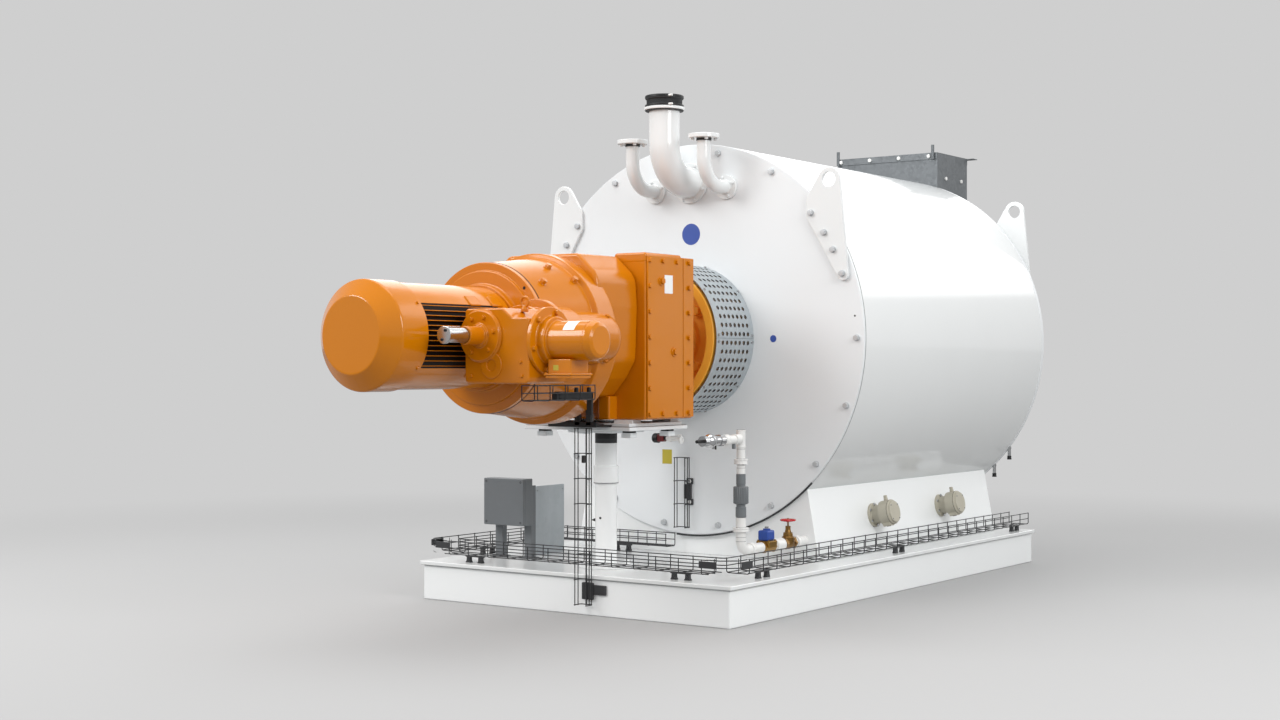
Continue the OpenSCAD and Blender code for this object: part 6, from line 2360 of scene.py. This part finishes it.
    def gate_body(self) -> None:
        """The bronze gate valve: hexagon ends, a bellied body, bonnet nut, gland nut and stem."""
        (_, y0, _), (_, y1, z1) = self.gate
        y, x, z = (y0 + y1) / 2, self.x, self.level
        at, upright = (x, 0, z), (x, y, 0)
        barrel = [(y0 + 12, 18), (y0 + 14, 20), (y - 14, 21), (y, 24), (y + 14, 21), (y1 - 14, 20),
                  (y1 - 12, 18)]
        bonnet = [(z - 12, 8), (z - 12, 20), (z + 4, 25), (z + 24, 25.5), (z + 27, 23), (z + 30, 20),
                  (z + 44, 19), (z + 44, 8)]
        gland = [(z + 43, 4), (z + 43, 14), (z + 56, 11), (z + 58, 8), (z + 58, 4)]
        parts = [
            drum_of(y0, y0 + 15, 25, Axis.Y, at, 1.5, 6),
            drum_of(y1 - 15, y1, 25, Axis.Y, at, 1.5, 6),
            lathe(barrel, Axis.Y, at, 56),
            turned_part(bonnet, [0, 5, 5, 2, 1, 2, 2, 0], Axis.Z, upright, 56),
            drum_of(z + 28, z + 40, 22, Axis.Z, upright, 1.5, 6),
            turned_part(gland, 1.5, Axis.Z, upright, 40),
            drum_of(z + 57, z + 70, 12, Axis.Z, upright, 1.2, 6),
            drum_of(z + 68, z1 - 0.3, 3.6, Axis.Z, upright, 0.6, 24),
        ]
        piece("gate_valve_body", parts, [BRONZE], "brass", ["gate_valve"])

    def wheel(self) -> None:
        """The red wheel: a rim of radius R + a cos(12 t), arched spokes and a hub, on its own body."""
        low, high = self.wheel_low, self.wheel_high
        x, y = (low[0] + high[0]) / 2, (low[1] + high[1]) / 2
        z, r = (low[2] + high[2]) / 2, (high[0] - low[0]) / 2
        t = np.linspace(0, 2 * np.pi, 144, endpoint=False)
        ring = r - 4.6 + 0.7 * np.cos(self.lobes * t)
        path = np.stack([x + ring * np.cos(t), y + ring * np.sin(t), np.full(len(t), z + 2.0)], -1)
        parts = [swept(path, circle(3.8, 16), (0, 0, 1), looped=True)]
        hub = [(z - 5.5, 4.2), (z - 5.5, 8.5), (z + 5, 8.5), (z + 6, 7), (z + 6, 4.2)]
        parts.append(lathe(rounded(hub, 0.8, 2), Axis.Z, (x, y, 0), 40, looped=True))
        reach = np.linspace(7, r - 5.5, 9)
        arch = z - 1.6 + 3.2 * ((reach - reach[0]) / (reach[-1] - reach[0])) ** 2
        line = np.stack([reach, np.zeros(9), arch - z], -1)
        spoke = swept(line, rounded([(-3.2, -1.7), (3.2, -1.7), (3.2, 1.7), (-3.2, 1.7)], 1.2), (0, 1, 0))
        for turn in np.arange(self.spokes) * 360 / self.spokes + 18:
            parts.append(spoke.turned(turn).moved(x, y, z))
        piece("spoked_red_wheel", parts, [RED_ENAMEL], "red_paint", ["gate_valve_handwheel"],
              body="handwheel")

    def drain(self) -> None:
        """The small motorised drain valve: dark cap, dark-red body, black mount, white fitting."""
        low, high = span("drain_valve")
        y, z = low[1] + 26, (low[2] + high[2]) / 2
        at = (0, y, z)
        x0, end = low[0] + 10, high[0]
        cap = [(x0, 8), (x0, 19), (x0 + 6, 21), (x0 + 26, 21), (x0 + 26, 8)]
        black = [
            turned_part(cap, [0, 3, 2, 1.5, 0], Axis.X, at, 56),
            drum_of(x0 + 54, x0 + 70, 9, Axis.X, at, 1.5, 32),
            block((x0 + 40, y - 14, z + 15), (x0 + 88, y + 14, z + 19), 1.0),
        ]
        red = block((x0 + 25.5, y - 17, z - 15), (x0 + 56, y + 17, z + 17), 4.0, Axis.X)
        white = [drum_of(x0 + 68, end - 12, 11, Axis.X, at, 1.5, 48),
                 ring_of(x0 + 78, x0 + 90, 9, 14, Axis.X, at, 1.5, 48),
                 turned_part([(end - 14, 8), (end - 14, 17), (end - 6, 17), (end - 6, 10), (end - 9, 9),
                              (end - 9, 8)], [0, 1.5, 1.5, 1, 1, 0], Axis.X, (0, y, z - 6), 56, 2),
                 block((x0 + 40, y - 12, z + 18.5), (x0 + 88, y + 12, z + 26), 1.5),
                 drum_of(y, high[1], 10, Axis.Y, (x0 + 76, 0, z), 1.5, 40),
                 ring_of(high[1] - 16, high[1] - 3, 9, 17, Axis.Y, (x0 + 76, 0, z), 1.5, 6)]
        made = [*white, coat(1, red), coat(2, *black)]
        piece("drain_valve_unit", made, [WHITE_PLASTIC, DARK_RED, BLACK_PLASTIC], "white_plastic",
              ["drain_valve"])


# ---- Heaters ----


@dataclass
class Heaters:
    """Two immersion heaters on the cradle's sloped side.

    Attributes:
        radius: of the flange and the head.
        rise: height of the flange's middle over the deck.
        lean: how far the side leans in, sideways and upwards.
    """

    radius: float = 54.0
    rise: float = 156.0
    lean: tuple[float, float] = (60.0, 297.0)

    def build(self) -> None:
        """Makes one heater along +X from its flange's middle and sets both on the slope."""
        low, high = span("drum_cradle")
        box_low, box_high = span("immersion_heaters")
        one = self.heater().turned(np.degrees(np.arctan2(*self.lean)), Axis.Y)
        x = high[0] - self.rise * self.lean[0] / self.lean[1]
        ends = (box_low[1] + self.radius, box_high[1] - self.radius)
        pair = [one.moved(x, y, low[2] + self.rise) for y in ends]
        piece("heater_pair", pair, [BEIGE, BLACK_PLASTIC, STEEL], "beige_paint", ["immersion_heaters"])

    def heater(self) -> Surface:
        """Flange with bolts, neck, round head with a screwed lid, an upper gland and a lower lug with one.

        Returns:
            One heater along +X from its flange's middle.
        """
        r = self.radius
        at = (0, 0, 0)
        profile = [(0.5, 10), (0.5, r - 2), (14, r - 2), (14, r - 15), (51, r - 14), (51, r - 1), (58, r),
                   (100, r), (103, r - 2), (103, r - 6), (111.5, r - 7), (111.5, 10)]
        soft = [0, 1.5, 2, 4, 4, 2, 3, 3, 1, 1.5, 3, 0]
        body = turned_part(profile, soft, Axis.X, at)
        seam = ring_of(95.5, 97, r - 2, r + 0.35, Axis.X, at, 0.3, 96)
        bolts = bolt_circle(hex_bolt(11, 6, 0), Axis.X, at, r - 8, range(30, 360, 60), 14)
        lid = bolt_circle(socket_screw(3.5, 1.8), Axis.X, at, r - 12, (45, 135, 225, 315), 111)
        upper = [drum_of(r - 8, r + 9, 10, Axis.Z, (76, 0, 0), 1.2, 6),
                 drum_of(r + 8, r + 21.5, 8, Axis.Z, (76, 0, 0), 2, 32)]
        lug = block((58, -34, -r - 4), (96, 2, -r + 14), 3.0, Axis.X)
        lower = drum_of(-r - 5.5, -r - 1, 9, Axis.Z, (77, -16, 0), 1.0, 24)
        return Surface.join([body, coat(1, seam), coat(2, bolts, lid), *upper, lug, coat(1, lower)])


# ---- Inlet chute ----


@dataclass
class Chute:
    """The galvanised inlet chute over the drum's rear rim, its rim angles, and the two drain stubs.

    Attributes:
        leg: height of the rim angles.
        bolts: places of the front angle's bolts across the chute.
    """

    leg: float = 34.0
    bolts: tuple[float, ...] = (-262.0, -94.0, 72.0, 240.0)

    def build(self) -> None:
        """Bolts the chute's sheet, which is one of the kept nodes, and makes the angles and stubs."""
        self.side_bolts()
        self.angles()
        self.stubs()

    def side_bolts(self) -> None:
        """Bolts through the chute's side walls."""
        low, high = span("inlet_chute")
        side = np.array([(high[0], y, high[2] - 126) for y in (low[1] + 94, low[1] + 274)])
        one = bolts_on(hex_bolt(17, 6, 9), side, (1, 0, 0))
        piece("chute_side_bolts", [one, one.mirrored()], [WHITE_PLASTIC], "galvanised_sheet")

    def angles(self) -> None:
        """Rim angles in front and behind, each a rounded bar, with pins, ears and pale bolts."""
        low, high = span("inlet_chute")
        box_low, box_high = span("chute_angles")
        hw, top = high[0], high[2]
        y0, y1 = low[1] - 0.3, high[1] + 0.3
        parts = [
            block((-hw, y0 - 4, top - self.leg), (hw, y0, top), 1.2),
            block((-hw, y1, top - self.leg), (hw, y1 + 4, top), 1.2),
            block((box_low[0], y1, top - 4), (box_high[0], box_high[1], top), 1.2),
        ]
        for x in (-hw + 9, hw - 20):
            parts.append(drum_of(top - self.leg, box_high[2], 8, Axis.Z, (x, y0 - 12, 0), 1.5, 32))
        for x in np.linspace(box_low[0] + 60, box_high[0] - 60, 5):
            spot = np.array([[x, box_high[1] - 18, top]])
            parts.append(bolts_on(hex_bolt(13, 7, 9), spot, (0, 0, 1)).moved(0, 0, -6.5))
        spots = np.array([(x, y0 - 4, top - 17) for x in self.bolts])
        heads = bolts_on(hex_bolt(17, 7, 9), spots, (0, -1, 0))
        made = [*parts, heads.painted(1)]
        piece("chute_rim_angles", made, [ZINC, WHITE_PLASTIC], "galvanised_sheet", ["chute_angles"])

    def stubs(self) -> None:
        """Two drain stubs under the drum's rear rim, each with a black hose end."""
        (x0, y0, z0), (x1, y1, _) = span("rear_drain_stubs")
        y = (y0 + y1) / 2
        drum = span("drum_shell")
        axis_z, radius = (drum[0][2] + drum[1][2]) / 2, (drum[1][0] - drum[0][0]) / 2
        parts = []
        for x in (x0 + 11, x1 - 11):
            top = axis_z - np.sqrt(radius**2 - x**2) + 14
            foot = max(top - 74, z0)
            parts.append(drum_of(top - 56, top - 8, 8, Axis.Z, (x, y, 0), 1.0, 32))
            parts.append(drum_of(top - 22, top - 12, 10.5, Axis.Z, (x, y, 0), 1.0, 6))
            hose = [(foot, 6), (foot, 11), (foot + 6, 11), (foot + 7, 10), (top - 56, 10), (top - 55, 9),
                    (top - 55, 6)]
            parts.append(lathe(rounded(hose, 0.6, 2), Axis.Z, (x, y, 0), 32, looped=True).painted(1))
        piece("drain_stub_pair", parts, [STEEL, BLACK_PLASTIC], "bright_steel", ["rear_drain_stubs"])


# ---- Kept nodes ----


# The finish for each material slot of the CAD nodes
SLOT_FINISH = {
    "white_paint": WHITE_GLOSS, "orange_paint": ORANGE, "galvanised_sheet": ZINC, "bright_steel": STEEL,
    "grey_paint": GREY_POWDER, "black_wire": BLACK_WIRE, "white_plastic": WHITE_PLASTIC,
    "grey_plastic": GREY_PLASTIC, "chrome": CHROME, "brass": BRASS, "red_paint": RED_ENAMEL,
    "beige_paint": BEIGE, "dark_rubber": RUBBER,
}


@dataclass
class KeptNodes:
    """CAD nodes whose shape is already right and only need their finish."""

    def build(self) -> None:
        """Puts each shown node's finish in its material slots."""
        for entry in frame["record"]["subparts"]:
            node = frame["nodes"][entry["node"]]
            if not node.hide_render:
                for place in node.material_slots:
                    place.material = SLOT_FINISH[entry["material_slot"]].material()


# ---- Studio ----


@dataclass
class Studio:
    """A pale floor, soft lamps and the camera.

    Attributes:
        backdrop: sRGB hex of the background behind the object.
        floor: sRGB hex of the floor where the object's shadow lies on it.
        bounce: sRGB hex of the light the floor sends back up to the object.
        near: radius within which the floor takes its own light, in metres.
        far: radius past which it shows the background, in metres.
        ambient: strength of the even light from all round.
        lamps: name, place, target, size and watts of each lamp, in metres.
        camera_place: where the camera stands, in metres.
        camera_turn: its turn about the vertical, in degrees.
        camera_rise: how far it looks up, in degrees.
        lens: its focal length, in millimetres.
        sensor: its sensor's width, in millimetres.
    """

    backdrop: str = "CFCFCF"
    floor: str = "AFAFAF"
    bounce: str = "8A8A8A"
    near: float = 3.2
    far: float = 6.5
    ambient: float = 0.87
    lamps: tuple = (
        ("key_front_left", (-3.6, -6.6, 5.0), (0.0, -0.6, 0.9), (3.2, 3.0), 262.0),
        ("fill_right", (6.2, -2.6, 3.6), (0.0, -0.4, 0.9), (3.0, 2.6), 165.0),
        ("top", (-0.4, -0.8, 6.0), (0.0, -0.4, 0.9), (4.6, 4.6), 118.0),
        ("panel_behind", (-4.0, 24.0, 15.6), (-4.0, 0.0, 15.6), (46.0, 16.6), 4000.0),
    )
    camera_place: tuple = (4.2254, -6.8761, 0.9565)
    camera_turn: float = 35.254
    camera_rise: float = -0.252
    lens: float = 49.88
    sensor: float = 36.0

    def build(self) -> None:
        """Makes the floor, the world, the lamps and the camera."""
        self.make_world()
        self.make_floor()
        for lamp in self.lamps:
            self.make_lamp(*lamp)
        self.make_camera()
        bpy.context.scene.view_settings.view_transform = "Standard"

    def make_world(self) -> None:
        """Even light for the object, and the background's own colour for what the camera and gloss see."""
        world = bpy.data.worlds.new("studio_light")
        bpy.context.scene.world = world
        world.use_nodes = True
        tree = world.node_tree
        tree.nodes.clear()
        path = add(tree, "ShaderNodeLightPath")
        light = add(tree, "ShaderNodeBackground", {"Color": (1, 1, 1, 1), "Strength": self.ambient})
        seen = add(tree, "ShaderNodeBackground", {"Color": linear(self.backdrop), "Strength": 1.0})
        one = add(tree, "ShaderNodeMath", {"operation": "MAXIMUM"}, at0=path.outputs["Is Camera Ray"],
                  at1=path.outputs["Is Glossy Ray"])
        any_ray = add(tree, "ShaderNodeMath", {"operation": "MAXIMUM"}, at0=one.outputs[0],
                      at1=path.outputs["Is Transmission Ray"])
        mix = add(tree, "ShaderNodeMixShader", at0=any_ray.outputs[0], at1=light.outputs[0],
                  at2=seen.outputs[0])
        add(tree, "ShaderNodeOutputWorld", Surface=mix.outputs[0])

    def make_floor(self) -> None:
        """A wide round floor that takes the shadow and turns to the background further out."""
        t = np.linspace(0, 2 * np.pi, 96, endpoint=False)
        points = np.stack([np.cos(t), np.sin(t), np.zeros(96)], -1) * 40.0
        mesh = bpy.data.meshes.new("studio_floor")
        mesh.from_pydata(points.tolist(), [], [list(range(96))])
        floor = bpy.data.objects.new("studio_floor", mesh)
        bpy.context.scene.collection.objects.link(floor)
        floor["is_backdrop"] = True
        made = bpy.data.materials.new("matt_studio_floor")
        made.use_nodes = True
        tree = made.node_tree
        tree.nodes.clear()
        place = add(tree, "ShaderNodeTexCoord").outputs["Object"]
        distance = add(tree, "ShaderNodeVectorMath", {"operation": "LENGTH"}, at0=place)
        fade = add(tree, "ShaderNodeMapRange", {"interpolation_type": "SMOOTHSTEP", "From Min": self.near,
                                                "From Max": self.far}, Value=distance.outputs["Value"])
        path = add(tree, "ShaderNodeLightPath")
        shown = add(tree, "ShaderNodeMath", {"operation": "MULTIPLY"}, at0=fade.outputs[0],
                    at1=path.outputs["Is Camera Ray"])
        matt = add(tree, "ShaderNodeBsdfDiffuse", {"Color": linear(self.floor), "Roughness": 0.0})
        plain = add(tree, "ShaderNodeEmission", {"Color": linear(self.backdrop), "Strength": 1.0})
        dim = add(tree, "ShaderNodeBsdfDiffuse", {"Color": linear(self.bounce), "Roughness": 0.0})
        near = add(tree, "ShaderNodeMixShader", at0=path.outputs["Is Camera Ray"], at1=dim.outputs[0],
                   at2=matt.outputs[0])
        mix = add(tree, "ShaderNodeMixShader", at0=shown.outputs[0], at1=near.outputs[0],
                  at2=plain.outputs[0])
        add(tree, "ShaderNodeOutputMaterial", Surface=mix.outputs[0])
        mesh.materials.append(made)

    def make_lamp(self, name: str, place: tuple, target: tuple, size: tuple, watts: float) -> None:
        """One rectangular soft lamp that points at a place; only its light and its reflection are seen.

        Args:
            name: the lamp's name.
            place: its middle, in metres.
            target: what it points at.
            size: its two sides.
            watts: its power.
        """
        data = bpy.data.lights.new(name, "AREA")
        data.shape, data.size, data.size_y, data.energy = "RECTANGLE", size[0], size[1], watts
        lamp = bpy.data.objects.new(name, data)
        lamp.location = place
        aim = Vector(target) - Vector(place)
        lamp.visible_camera = False
        lamp.rotation_mode = "QUATERNION"
        lamp.rotation_quaternion = aim.to_track_quat("-Z", "Y")
        bpy.context.scene.collection.objects.link(lamp)

    def make_camera(self) -> None:
        """The camera, level to a quarter of a degree, seen from the drive end's right."""
        data = bpy.data.cameras.new("view")
        data.lens, data.sensor_width, data.sensor_fit = self.lens, self.sensor, "HORIZONTAL"
        data.clip_start, data.clip_end = 0.1, 200.0
        camera = bpy.data.objects.new("view", data)
        turn, rise = np.radians([self.camera_turn, self.camera_rise])
        back = Vector((np.sin(turn) * np.cos(rise), -np.cos(turn) * np.cos(rise), np.sin(rise)))
        camera.location = self.camera_place
        camera.rotation_mode = "QUATERNION"
        camera.rotation_quaternion = (-back).to_track_quat("-Z", "Y")
        bpy.context.scene.collection.objects.link(camera)
        bpy.context.scene.camera = camera


def main() -> None:
    """Builds every sub-assembly in order, then the studio."""
    logging.basicConfig(level=logging.INFO, format="%(message)s")
    assemblies = (Plinth(), Drum(), TopPipes(), Coupling(), Gearbox(), Motor(), AuxiliaryDrive(), Support(),
                  Boxes(), Trays(), WaterLine(), Heaters(), Chute(), KeptNodes())
    for assembly in assemblies:
        LOG.info("building %s", type(assembly).__name__)
        assembly.build()
    Studio().build()
    boxes = {"cad": CAD_BOX, "visual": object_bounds()}
    {key: [list(map(float, corner)) for corner in box] for key, box in boxes.items()}


if __name__ == "__main__":
    main()
